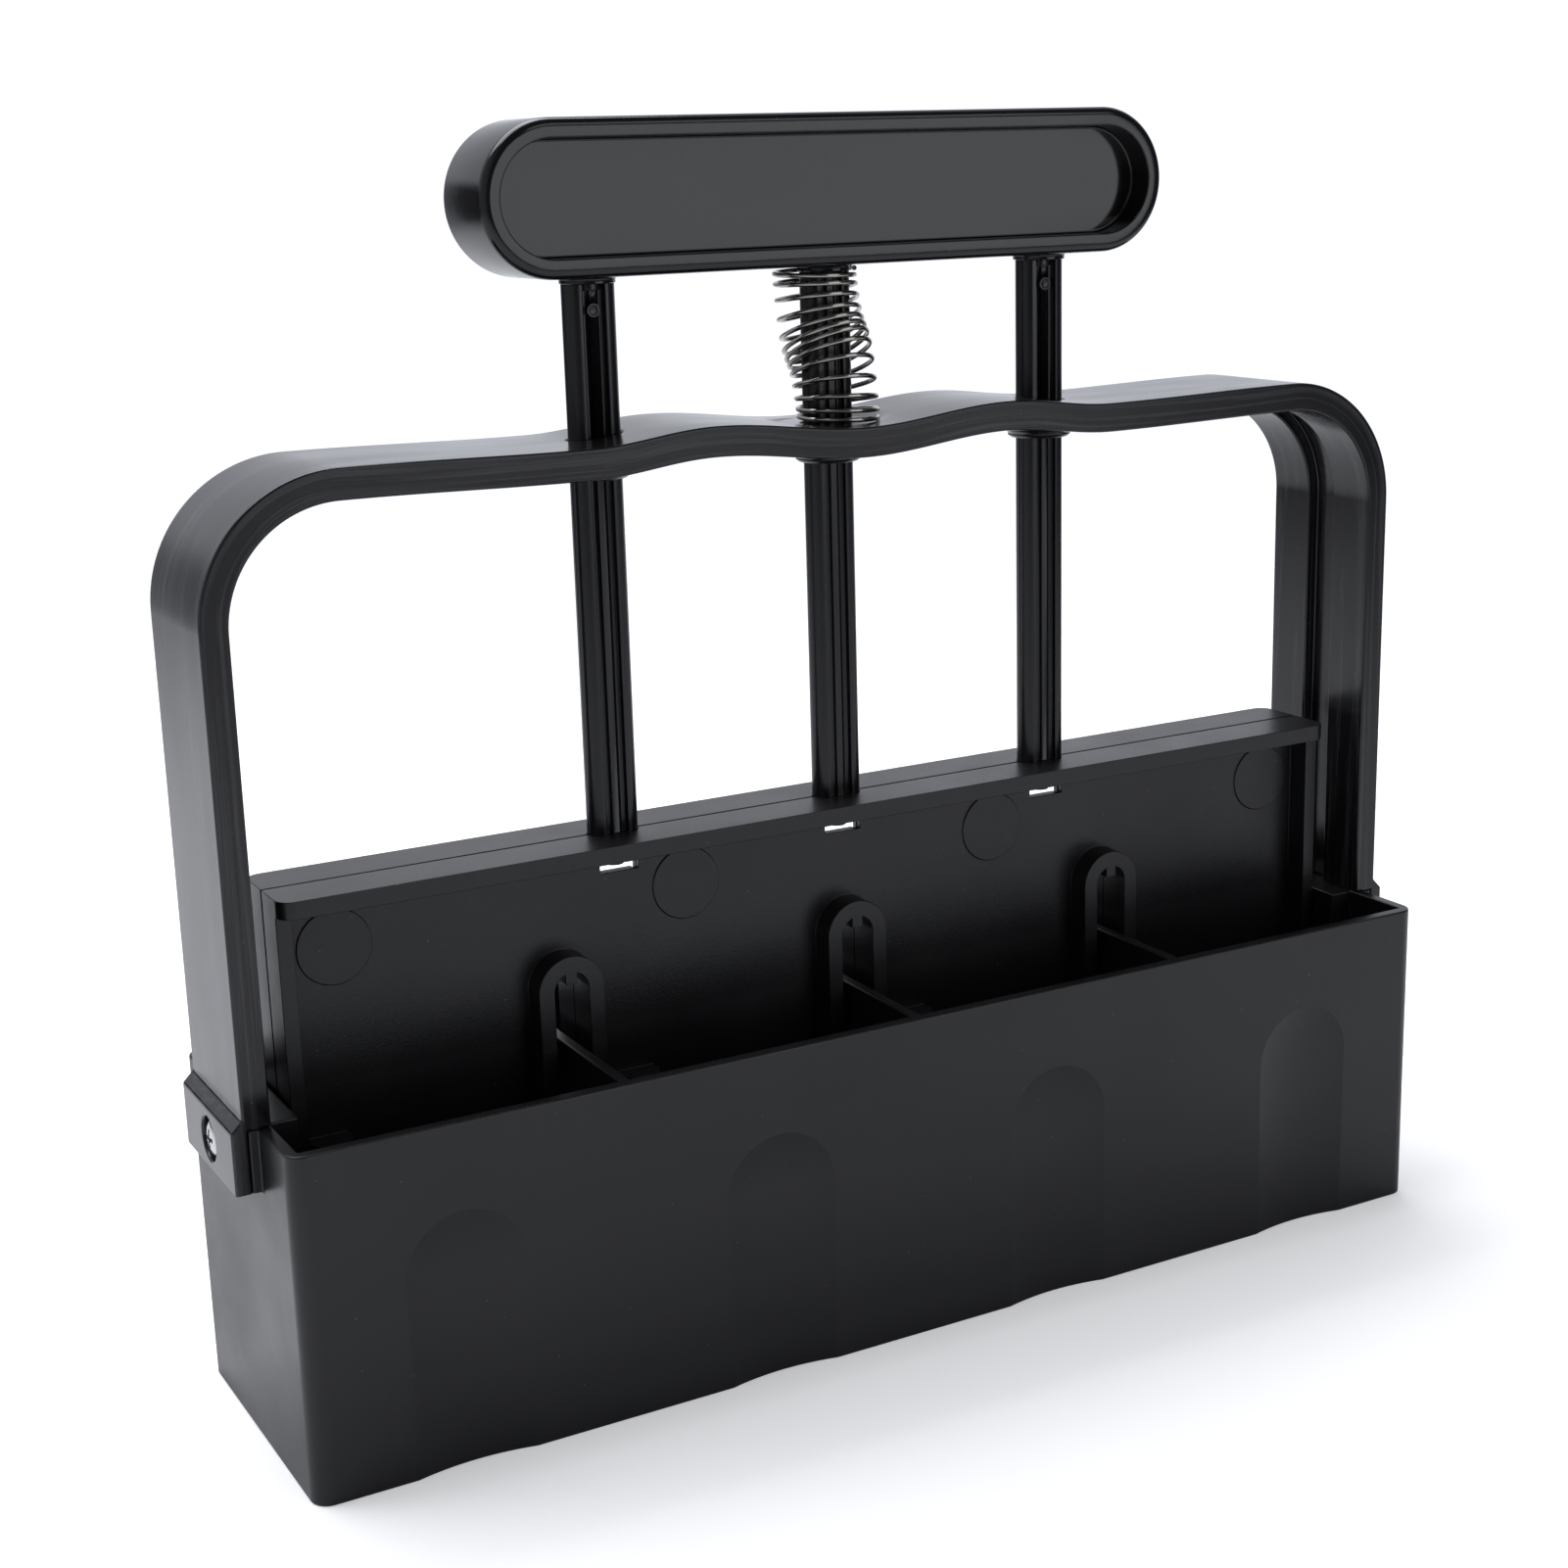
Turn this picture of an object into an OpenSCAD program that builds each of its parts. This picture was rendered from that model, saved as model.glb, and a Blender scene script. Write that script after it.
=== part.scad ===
// Soil blocker: a mould box with a row of four cells, a carrying frame screwed to its ends,
// and a sprung press plunger on three rods that pushes the soil blocks out.
// Origin: centre of the box's underside. +X along the box, -Y its front, +Z up. Millimetres.

/* [Mould box] */
// Length of the box over its end walls
box_l = 214; // [200:1:230]
// Depth of the box, front to back
box_d = 53; // [50:0.5:60]
// Height of the box
box_h = 56; // [52:0.5:64]
// Thickness of the outer walls
wall_t = 2.2; // [2:0.1:3]
// Thickness of the cross walls between the cells
divider_t = 2; // [1.4:0.1:3]
// Radius of the box's upright corners
box_corner_r = 3; // [1.5:0.5:5]
// Distance from the box's end to the middle of the nearest arch
arch_end = 26; // [22:0.5:30]
// Width of an arch where it meets the long face
arch_w = 19.5; // [14:0.5:24]
// Depth of an arch at its middle
arch_depth = 1.2; // [0.6:0.1:1.5]
// Distance from the rim down to the top of an arch
arch_drop = 14; // [10:0.5:20]
// Thickness of the boss outside each end wall, behind the frame's foot
boss_t = 1.6; // [1:0.1:2.4]
// Thickness of the nut boss inside each end wall
nut_boss_t = 4.4; // [4:0.1:4.6]
// Width of the nut boss, front to back
nut_boss_w = 22.6; // [14:0.2:30]
// How far the nut boss reaches down below the frame's foot
nut_boss_drop = 3.5; // [0:0.5:5]

/* [Frame] */
// Depth of the frame, front to back
frame_d = 25.6; // [24:0.2:32]
// Height of the grip bar's top above the box's rim
frame_rise = 96; // [80:1:110]
// Thickness of each leg
leg_t = 4.4; // [3.8:0.1:5.4]
// How far each leg's outer face stands past the end wall
leg_proud = 2.4; // [2:0.1:3]
// Thickness of the grip bar
bar_t = 4.8; // [4:0.1:6]
// Outer radius of the frame's top corners
frame_corner_r = 22; // [14:1:28]
// How far the grip bar dips at the middle, below its straight ends
wave_dip = 1; // [0:0.1:1.6]
// How far the grip bar's crests stand above its straight ends
wave_crest = 1.2; // [0:0.1:1.6]
// How far the grip bar dips outside the outer rods
wave_outer_dip = 0.6; // [0:0.1:1.2]
// Distance from the middle to a crest
wave_crest_x = 27; // [22:0.5:32]
// Distance from the middle to an outer dip
wave_outer_x = 48; // [44:0.5:54]
// Wall of the guide boss under the bar, beside each rod's guide hole
guide_boss_wall = 0.55; // [0.4:0.05:2]
// How far a guide boss stands below the bar
guide_boss_h = 0.8; // [0.4:0.1:3]
// Width of the groove down the inside of each leg
groove_w = 6.6; // [3:0.2:12]
// Depth of that groove
groove_depth = 2.2; // [0.6:0.1:2.6]
// Height of the foot and of the bosses it is screwed to
foot_h = 10; // [9:0.5:14]
// Thickness of the foot
foot_t = 2.6; // [2.4:0.1:4]

/* [Plunger] */
// Gap between the plunger's ends and the nut bosses that it passes
plunger_gap = 0.4; // [0.3:0.1:2]
// Height of the plunger's top above the box's rim
plunger_rise = 32.5; // [30:0.5:40]
// Depth of each half shell's top lip
lip_d = 9; // [7.5:0.5:11]
// Height of the top lip
lip_h = 3.2; // [3.1:0.1:5]
// Thickness of each half shell's web
web_t = 2; // [1.8:0.1:3]
// Radius of the lip's outer corners
lip_corner_r = 2.5; // [1:0.5:4]
// Depth of the end ribs and of the slot collars, from the seam
rib_d = 6.3; // [4:0.1:7]
// Thickness of the end ribs
rib_t = 2.5; // [1.5:0.1:4]
// Width of a slot that passes a cross wall
slot_w = 6; // [5:0.1:7]
// Width of the raised band round a slot
collar_band = 2.7; // [1.5:0.1:4]
// Width of the stop tab that hangs in a slot
tab_w = 2; // [1.5:0.1:3]
// Length of the stop tab
tab_h = 1.9; // [1:0.1:3]
// Diameter of the round ejector marks on the webs
mark_dia = 12.5; // [8:0.5:14]
// Distance from the plunger's ends to the middle of the outer ejector marks
mark_end = 10; // [9:0.5:14]
// Distance of the inner ejector marks from the middle
mark_inner_x = 30; // [24:1:34]
// Travel of the plunger, from rest to the stop tabs
travel = 10; // [6:0.5:11]

/* [Press plates] */
// Thickness of a press plate
plate_t = 2.5; // [2.4:0.1:4]
// Gap between a press plate and its cell, all round
plate_gap = 0.5; // [0.3:0.1:1]
// Distance of each plate screw from the middle of its plate
plate_screw_x = 14; // [11:0.5:16]
// Length of the locating ribs on a press plate
plate_rib_l = 16; // [8:0.5:18]
// Diameter of a seed pin where it meets its plate
pin_dia = 12; // [8:0.5:16]
// Diameter of a seed pin near its tip
pin_tip_dia = 9; // [6:0.5:11]
// Length of a seed pin below its plate
pin_l = 9; // [6:0.5:14]

/* [Rods and handle] */
// Width of the rods, along the handle
rod_w = 8.6; // [8.2:0.1:8.7]
// Depth of the rods, front to back
rod_d = 4.4; // [4.2:0.1:5.4]
// Distance between neighbouring rods
rod_pitch = 41.7; // [40:0.1:44]
// Radius of the two flutes down each broad face of a rod
flute_r = 0.65; // [0.4:0.05:0.8]
// Depth of the flutes
flute_depth = 1.1; // [0.6:0.1:1.3]
// Distance of each flute from the middle of its face
flute_x = 1.25; // [1:0.05:1.4]
// How far the ridge between two flutes lies below the face
ridge_drop = 0.5; // [0:0.1:0.8]
// Height from the plunger's top to the handle's underside
rod_reach = 87.5; // [84:0.5:110]
// Length of the handle
handle_l = 123; // [110:1:140]
// Height of the handle
handle_h = 23.4; // [20:0.2:28]
// Depth of the handle, front to back
handle_d = 16; // [15:0.5:22]
// Radius along the handle's edges
handle_edge_r = 3; // [1:0.25:3.2]
// Width of the rim round the handle's recess
recess_rim = 3.3; // [3.2:0.1:5]
// Depth of the recess on each face of the handle
recess_depth = 4; // [1:0.1:4.2]
// Diameter of the collar that each rod enters
collar_dia = 8.8; // [8.6:0.1:9]
// How far a collar stands below the handle
collar_h = 1; // [0.5:0.1:2]
// Diameter of the tenon at a rod's top
tenon_dia = 4; // [3:0.1:4.2]
// Length of the tenon above the rod's shoulder
tenon_l = 8.5; // [5:0.5:12]

/* [Spring] */
// Wire diameter
wire_dia = 0.8; // [0.6:0.05:0.9]
// Outer diameter of the coils
spring_dia = 13.4; // [13.2:0.1:14]
// Width of the flat seat in the bar, past the coils on each side
spring_seat_rim = 2.4; // [1:0.1:2.6]

/* [Fasteners] */
// Shank diameter of the frame screws
screw_dia = 3; // [2.5:0.1:3.2]
// Length of the frame screws under the head
screw_l = 8; // [7.5:0.1:8.6]
// Head diameter of the frame screws
screw_head_dia = 5.6; // [5:0.1:6]
// Width across the flats of the frame nuts
nut_flats = 5.5; // [5:0.1:5.6]
// Thickness of the frame nuts
nut_t = 2.4; // [2:0.1:2.6]
// Shank diameter of the plate screws
plate_screw_dia = 2.6; // [2:0.1:2.9]
// Length of the plate screws under the head
plate_screw_l = 6; // [4:0.5:6.5]
// Head diameter of the plate screws
plate_head_dia = 5.2; // [4.4:0.1:5.6]

/* [Clearances] */
// Gap between neighbours that move past each other, and at the stops
run_gap = 0.3; // [0.2:0.05:0.4]
// Gap round a rod in its guide hole
guide_gap = 0.35; // [0.2:0.05:0.5]
// Gap round a piece in its seat
seat_gap = 0.05; // [0.02:0.01:0.1]
// Gap between the two half shells at the seam
seam_gap = 0.1; // [0.04:0.02:0.2]

/* [Hidden] */
$fn = 64;

// Colours of the mouldings and of the metal
mould_black = "#1f1f22";
gloss_black = "#19191b";
satin_black = "#232326";
plated_steel = "#c9ccd0";

// Cutters run this far past what they cut
past = 1;

// Cells: four in a row, with a cross wall between each two
cells = 4;
cell_pitch = (box_l - 2 * wall_t + divider_t) / cells;
cell_l = cell_pitch - divider_t;
cell_d = box_d - 2 * wall_t;
cell_x = [for (i = [0:cells - 1]) (i - (cells - 1) / 2) * cell_pitch];
divider_x = [for (i = [0:cells - 2]) (i - (cells - 2) / 2) * cell_pitch];
end_wall_in = box_l / 2 - wall_t;

// Arches: a shallow drum and ball cut of one radius, so that the arch fades out at its top
arch_r = (pow(arch_w / 2, 2) + pow(arch_depth, 2)) / (2 * arch_depth);
arch_ball_z = box_h - arch_drop - arch_w / 2;
arch_axis_y = box_d / 2 + arch_r - arch_depth;
arch_pitch = (box_l - 2 * arch_end) / (cells - 1);

// Frame, measured from the box
leg_out = box_l / 2 + leg_proud;
leg_in = leg_out - leg_t;
boss_out = box_l / 2 + boss_t;
foot_out = boss_out + foot_t;
foot_z = box_h - foot_h;
bar_top = box_h + frame_rise;
corner_x = leg_out - frame_corner_r;
inner_corner_r = frame_corner_r - leg_t;
inner_corner_z = bar_top - bar_t - inner_corner_r;
arc_step = 5;
wave_steps = 40;

// Plunger heights, from the underside of the nut bosses, which stop the plates from rising
plate_top = foot_z - nut_boss_drop - run_gap;
plate_low = plate_top - plate_t;
lip_top = box_h + plunger_rise;
lip_low = lip_top - lip_h;
tab_low = box_h + travel + run_gap;
slot_top = tab_low + tab_h;
collar_w = slot_w + 2 * collar_band;
seam_y = seam_gap / 2;
rib_front = rib_d + seam_y;
nut_boss_in = end_wall_in - nut_boss_t;
plunger_l = 2 * (nut_boss_in - plunger_gap);

// Ejector marks
mark_outer_x = plunger_l / 2 - mark_end;
mark_x = [-mark_outer_x, -mark_inner_x, mark_inner_x, mark_outer_x];
mark_z = lip_low - mark_dia / 2 - 0.8;
mark_depth = 0.2;

// Plate screws enter a boss on one half shell each
plate_boss_dia = plate_screw_dia + 4.4;
plate_boss_y = plate_boss_dia / 2 + seam_y;
plate_boss_h = plate_screw_l;
plate_head_h = 1.5;
plate_sink = plate_head_h + 0.1;
plate_sink_dia = plate_head_dia + 0.6;
plate_hole_h = plate_sink - plate_t + plate_screw_l + seat_gap;
plate_rib_t = 1.4;
plate_rib_h = 2.5;
pin_stem_dia = 4;

// Rods
rod_x = [-rod_pitch, 0, rod_pitch];
land_x = (rod_w - rod_d) / 2;
flute_axis_y = rod_d / 2 - flute_depth + flute_r;
ridge_y = rod_d / 2 - ridge_drop;
guide_boss_dia = rod_w + 2 * (guide_gap + guide_boss_wall);
socket_depth = lip_h - 0.4;
rod_low = lip_top - socket_depth;
handle_low = lip_top + rod_reach;
rod_top = handle_low - collar_h;
handle_z = handle_low + handle_h / 2;
prong_in = 2.9;
prong_t = 1;
prong_l = 6;
prong_d = web_t;
barb_out = 0.7;
barb_h = 1.2;
tongue_dia = 3.4;
tongue_l = 1.7;
window_w = 6.8;
window_rise = 1.1;
window_drop = 3.1;
stud_dia = 2.3;
stud_drop = 4;
stud_stand = 0.2;

// Frame screws
screw_z = foot_z + foot_h / 2;
screw_sink = 1.5;
screw_sink_dia = screw_head_dia + 1.4;
screw_seat = foot_out - screw_sink;
nut_pocket = nut_t + 0.3;
driver_w = 0.8;
driver_l = 3;
driver_depth = 0.8;

// Spring, between the bar's middle dip and the handle's underside
spring_seat_z = bar_top - wave_dip;
spring_seat_dia = spring_dia + 2 * spring_seat_rim;
spring_low = spring_seat_z + run_gap;
spring_high = handle_low - run_gap;

// A cosine ease from 0 to 1
function ease(t) = (1 - cos(180 * t)) / 2;

// Height of the grip bar above its straight ends, at a distance from the middle
function wave(x) =
    x < wave_crest_x ? -wave_dip + (wave_crest + wave_dip) * ease(x / wave_crest_x)
    : x < wave_outer_x ? wave_crest - (wave_crest + wave_outer_dip)
        * ease((x - wave_crest_x) / (wave_outer_x - wave_crest_x))
    : -wave_outer_dip * (1 - ease((x - wave_outer_x) / (corner_x - wave_outer_x)));

// Points of an arc in the frame's plane
function arc(cx, cz, r, from, to) =
    let (n = round(abs(to - from) / arc_step))
    [for (i = [0:n]) let (a = from + (to - from) * i / n) [cx + r * cos(a), cz + r * sin(a)]];

// The grip bar's upper or lower line, from the right corner to the middle
function bar_line(z) =
    [for (i = [1:wave_steps]) let (x = corner_x * (1 - i / wave_steps)) [x, z + wave(x)]];

// The frame's right half, outer line going up and inner line coming back
function frame_outer() = concat(
    [[boss_out, box_h], [boss_out, foot_z], [foot_out, foot_z], [foot_out, box_h],
     [leg_out, box_h + foot_out - leg_out]],
    arc(corner_x, bar_top - frame_corner_r, frame_corner_r, 0, 90),
    bar_line(bar_top));
function frame_inner() = concat(
    [[leg_in, box_h]],
    arc(corner_x, inner_corner_z, inner_corner_r, 0, 90),
    bar_line(bar_top - bar_t));
function reversed(list) = [for (i = [len(list) - 1:-1:0]) list[i]];
function other_side(list) = [for (p = list) [-p[0], p[1]]];

// The groove follows the leg and the corner on the frame's inside
function groove_line() = concat(
    [[leg_in + groove_depth, box_h - past]],
    arc(corner_x, inner_corner_z, inner_corner_r + groove_depth, 0, 90),
    reversed(arc(corner_x, inner_corner_z, inner_corner_r - past, 0, 90)),
    [[leg_in - past, box_h - past]]);

// Upright rounded block, standing on z = 0
module rounded_block(l, d, h, r) {
    translate([-l / 2, r - d / 2, 0])
        cube([l, d - 2 * r, h]);
    translate([r - l / 2, -d / 2, 0])
        cube([l - 2 * r, d, h]);
    for (x = [-1, 1])
        for (y = [-1, 1])
            translate([x * (l / 2 - r), y * (d / 2 - r), 0])
                cylinder(r = r, h = h);
}

// One thing at each end of the box
module both_ends() {
    for (side = [0, 1])
        mirror([side, 0, 0])
            children();
}

module arch_cut(x) {
    translate([x, -arch_axis_y, -past])
        cylinder(r = arch_r, h = arch_ball_z + past, $fn = 120);
    translate([x, -arch_axis_y, arch_ball_z])
        sphere(r = arch_r, $fn = 120);
}

module mould_box() {
    color(mould_black)
        difference() {
            union() {
                difference() {
                    rounded_block(box_l, box_d, box_h, box_corner_r);
                    for (x = cell_x)
                        translate([x - cell_l / 2, -cell_d / 2, -past])
                            cube([cell_l, cell_d, box_h + 2 * past]);
                    for (i = [0:cells - 1])
                        for (face = [0, 1])
                            mirror([0, face, 0])
                                arch_cut(arch_end - box_l / 2 + i * arch_pitch);
                }
                both_ends() {
                    translate([box_l / 2 - wall_t / 2, -frame_d / 2, foot_z])
                        cube([boss_t + wall_t / 2, frame_d, foot_h]);
                    translate([nut_boss_in, -nut_boss_w / 2, foot_z - nut_boss_drop])
                        cube([nut_boss_t + wall_t / 2, nut_boss_w, foot_h + nut_boss_drop]);
                }
            }
            both_ends()
                translate([0, 0, screw_z])
                    rotate([0, 90, 0]) {
                        translate([0, 0, nut_boss_in - past])
                            cylinder(r = screw_dia / 2 + seat_gap, h = foot_out);
                        translate([0, 0, nut_boss_in - past])
                            hexagon(nut_flats + 2 * seat_gap, nut_pocket + past);
                    }
        }
}

// Upright bar of a rod's outline, grown by a gap where it cuts its hole
module rod_bar(gap, h) {
    translate([-land_x, -rod_d / 2 - gap, 0])
        cube([2 * land_x, rod_d + 2 * gap, h]);
    for (side = [-1, 1])
        translate([side * land_x, 0, 0])
            cylinder(d = rod_d + 2 * gap, h = h);
}

// Hexagonal prism by its width across the flats, with flats above and below once laid along X
module hexagon(flats, h) {
    cylinder(r = flats / sqrt(3), h = h, $fn = 6);
}

module frame() {
    outline = concat(frame_outer(), other_side(reversed(frame_outer())),
        other_side(frame_inner()), reversed(frame_inner()));
    color(gloss_black)
        difference() {
            union() {
                rotate([90, 0, 0])
                    linear_extrude(height = frame_d, center = true)
                        polygon(outline);
                for (x = rod_x)
                    translate([x, 0, bar_top - bar_t + wave(abs(x)) - guide_boss_h])
                        cylinder(d = guide_boss_dia, h = guide_boss_h + bar_t / 2);
            }
            both_ends()
                rotate([90, 0, 0])
                    linear_extrude(height = groove_w, center = true)
                        polygon(groove_line());
            for (x = rod_x)
                translate([x, 0, bar_top - 2 * bar_t - guide_boss_h])
                    rod_bar(guide_gap, 4 * bar_t);
            translate([0, 0, spring_seat_z])
                cylinder(d = spring_seat_dia, h = bar_t);
            both_ends()
                translate([0, 0, screw_z])
                    rotate([0, 90, 0]) {
                        cylinder(r = screw_dia / 2 + seat_gap, h = foot_out + past);
                        translate([0, 0, screw_seat])
                            cylinder(d = screw_sink_dia, h = foot_t);
                    }
        }
}

// Pan-head screw along +Z: its head's underside is at z = 0 and its shank runs down
module pan_screw(dia, l, head_dia, head_h) {
    difference() {
        union() {
            translate([0, 0, -l])
                cylinder(d = dia, h = l);
            cylinder(d = head_dia, h = head_h - head_dia / 14);
            translate([0, 0, head_h - head_dia / 14])
                cylinder(d1 = head_dia, d2 = head_dia * 0.72, h = head_dia / 14);
        }
        for (turn = [0, 90])
            rotate([0, 0, turn])
                translate([-driver_l / 2, -driver_w / 2, head_h - driver_depth])
                    cube([driver_l, driver_w, driver_depth + past]);
    }
}

module frame_screws() {
    color(plated_steel)
        both_ends()
            translate([screw_seat, 0, screw_z])
                rotate([0, 90, 0])
                    pan_screw(screw_dia, screw_l, screw_head_dia, screw_sink);
}

module frame_nuts() {
    color(plated_steel)
        both_ends()
            translate([nut_boss_in + nut_pocket - nut_t, 0, screw_z])
                rotate([0, 90, 0])
                    difference() {
                        hexagon(nut_flats, nut_t);
                        translate([0, 0, -past])
                            cylinder(r = screw_dia / 2 + seat_gap, h = nut_t + 2 * past);
                    }
}

// Slot over a cross wall: a round-topped opening as wide as w, up to z = top
module slot_shape(w, top, d) {
    translate([-w / 2, -d, plate_top - past])
        cube([w, d + past, top - w / 2 - plate_top + past]);
    translate([0, past, top - w / 2])
        rotate([90, 0, 0])
            cylinder(d = w, h = d + past);
}

// The two prongs at a rod's lower end, grown by a gap where they cut their pockets. They grip
// the half shells beside the window.
module rod_prongs(gap) {
    for (side = [0, 1])
        mirror([side, 0, 0])
            translate([prong_in - gap, -prong_d / 2 - gap, rod_low - prong_l - gap]) {
                cube([prong_t + 2 * gap, prong_d + 2 * gap, prong_l + 2 * gap]);
                cube([prong_t + barb_out + 2 * gap, prong_d + 2 * gap, barb_h + 2 * gap]);
            }
}

// Front half shell; the rear one is its mirror image
module plunger_half() {
    color(satin_black)
        difference() {
            union() {
                difference() {
                    translate([0, 0, lip_low])
                        rounded_block(plunger_l, 2 * lip_d, lip_h, lip_corner_r);
                    translate([-plunger_l, -seam_y, lip_low - past])
                        cube([2 * plunger_l, 2 * lip_d, lip_h + 2 * past]);
                }
                translate([-plunger_l / 2, -web_t - seam_y, plate_top])
                    cube([plunger_l, web_t, lip_low - plate_top]);
                both_ends()
                    translate([plunger_l / 2 - rib_t, -rib_front, plate_top])
                        cube([rib_t, rib_d, lip_low - plate_top]);
                intersection() {
                    for (x = divider_x)
                        translate([x, 0, 0])
                            slot_shape(collar_w, slot_top + collar_band, rib_front);
                    translate([-box_l / 2, -rib_front, plate_top])
                        cube([box_l, rib_d, box_h]);
                }
                for (x = cell_x)
                    translate([x - plate_screw_x, -plate_boss_y, plate_top])
                        cylinder(d = plate_boss_dia, h = plate_boss_h);
            }
            for (x = divider_x)
                translate([x, 0, 0])
                    difference() {
                        slot_shape(slot_w, slot_top, rib_front + past);
                        translate([-tab_w / 2, -2 * rib_front, tab_low])
                            cube([tab_w, 4 * rib_front, tab_h + past]);
                    }
            for (x = rod_x)
                translate([x, 0, 0]) {
                    translate([0, 0, rod_low])
                        rod_bar(seat_gap, lip_h);
                    rod_prongs(seat_gap);
                    translate([-window_w / 2, -2 * lip_d, lip_low - window_drop])
                        cube([window_w, 4 * lip_d, window_drop + window_rise]);
                }
            for (x = cell_x)
                translate([x - plate_screw_x, -plate_boss_y, plate_top - past])
                    cylinder(r = plate_screw_dia / 2 + seat_gap, h = plate_hole_h + past);
            for (x = mark_x)
                translate([x, mark_depth - seam_y - web_t, mark_z])
                    rotate([90, 0, 0])
                        cylinder(d = mark_dia, h = lip_d / 2);
        }
}

module plunger_front() {
    plunger_half();
}

// Turned half round, so that its plate screws are on the other side of each plate
module plunger_rear() {
    rotate([0, 0, 180])
        plunger_half();
}

// Where the two screws of a plate stand, seen from the middle of the plate
module at_plate_screws() {
    for (turn = [0, 180])
        rotate([0, 0, turn])
            translate([-plate_screw_x, -plate_boss_y, 0])
                children();
}

module press_plate(i) {
    color(satin_black)
        translate([cell_x[i], 0, plate_low])
            difference() {
                union() {
                    rounded_block(cell_l - 2 * plate_gap, cell_d - 2 * plate_gap, plate_t, 1);
                    for (turn = [0, 180])
                        rotate([0, 0, turn])
                            translate([-plate_rib_l / 2, web_t + seam_y + seat_gap, plate_t / 2])
                                cube([plate_rib_l, plate_rib_t, plate_t / 2 + plate_rib_h]);
                }
                translate([0, 0, -past])
                    cylinder(r = pin_stem_dia / 2 + seat_gap, h = plate_t + 2 * past);
                at_plate_screws() {
                    translate([0, 0, -past])
                        cylinder(r = plate_screw_dia / 2 + seat_gap, h = plate_t + 2 * past);
                    translate([0, 0, -past])
                        cylinder(d = plate_sink_dia, h = plate_sink + past);
                }
            }
}

module plate_screws() {
    color(plated_steel)
        for (x = cell_x)
            translate([x, 0, plate_low + plate_sink])
                at_plate_screws()
                    rotate([180, 0, 0])
                        pan_screw(plate_screw_dia, plate_screw_l, plate_head_dia, plate_head_h);
}

// Tapered peg with a rounded tip, and a stem that fills the hole in its plate
module seed_pin(i) {
    tip_round = pin_tip_dia / 4;
    color(satin_black)
        translate([cell_x[i], 0, plate_low]) {
            rotate_extrude()
                polygon(concat(
                    [[0, 0], [0, -pin_l]],
                    [for (a = [0:15:90]) [
                        pin_tip_dia / 2 - tip_round * (1 - sin(a)),
                        tip_round * (1 - cos(a)) - pin_l
                    ]],
                    [[pin_dia / 2, 0]]));
            cylinder(d = pin_stem_dia, h = plate_t);
        }
}

// The two flutes of a rod's front face, and what is taken off the ridge between them
module rod_flutes() {
    for (side = [-1, 1]) {
        translate([side * flute_x, -flute_axis_y, 0])
            cylinder(r = flute_r, h = rod_top - lip_top - collar_h);
        translate([side * flute_x - flute_r, -rod_d, 0])
            cube([2 * flute_r, rod_d - flute_axis_y, rod_top - lip_top - collar_h]);
    }
    translate([-flute_x, -rod_d, 0])
        cube([2 * flute_x, rod_d - ridge_y, rod_top - lip_top - collar_h]);
}

// Flat rod with two flutes on each broad face, prongs and a short tongue below, a tenon above
module rod(x, has_stud) {
    color(gloss_black)
        translate([x, 0, 0]) {
            difference() {
                translate([0, 0, rod_low])
                    rod_bar(0, rod_top - rod_low);
                for (turn = [0, 180])
                    rotate([0, 0, turn])
                        translate([0, 0, lip_top])
                            rod_flutes();
            }
            translate([0, 0, rod_top])
                cylinder(d = tenon_dia, h = tenon_l);
            rod_prongs(0);
            translate([0, 0, rod_low - tongue_l])
                cylinder(d = tongue_dia, h = tongue_l);
            if (has_stud)
                translate([0, 0, rod_top - stud_drop])
                    rotate([90, 0, 0])
                        cylinder(d = stud_dia, h = ridge_y + stud_stand);
        }
}

// Stadium bar along X with rounded edges, centred on the origin
module rounded_bar(l, h, d, r) {
    rotate([90, 0, 90])
        linear_extrude(height = l - h, center = true) {
            square([d - 2 * r, h], center = true);
            square([d, h - 2 * r], center = true);
            for (y = [-1, 1])
                for (z = [-1, 1])
                    translate([y * (d / 2 - r), z * (h / 2 - r)])
                        circle(r = r);
        }
    for (side = [-1, 1])
        translate([side * (l - h) / 2, 0, 0])
            rotate([90, 0, 0])
                rotate_extrude($fn = 96) {
                    translate([0, r - d / 2])
                        square([h / 2, d - 2 * r]);
                    translate([0, -d / 2])
                        square([h / 2 - r, d]);
                    for (y = [-1, 1])
                        translate([h / 2 - r, y * (d / 2 - r)])
                            circle(r = r);
                }
}

// Flat stadium prism lying in the XZ plane, running from the front face inwards
module stadium(l, h, d) {
    rotate([90, 0, 0]) {
        translate([-(l - h) / 2, -h / 2, 0])
            cube([l - h, h, d]);
        for (side = [-1, 1])
            translate([side * (l - h) / 2, 0, 0])
                cylinder(d = h, h = d, $fn = 96);
    }
}

module handle() {
    color(gloss_black)
        difference() {
            union() {
                translate([0, 0, handle_z])
                    difference() {
                        rounded_bar(handle_l, handle_h, handle_d, handle_edge_r);
                        for (face = [0, 1])
                            mirror([0, face, 0])
                                translate([0, recess_depth - handle_d / 2, 0])
                                    stadium(handle_l - 2 * recess_rim, handle_h - 2 * recess_rim,
                                        recess_depth + past);
                    }
                for (x = rod_x)
                    translate([x, 0, rod_top])
                        cylinder(d = collar_dia, h = collar_h + recess_rim / 2);
            }
            for (x = rod_x)
                translate([x, 0, rod_top - past])
                    cylinder(r = tenon_dia / 2 + seat_gap, h = tenon_l + past + seat_gap);
        }
}

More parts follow.
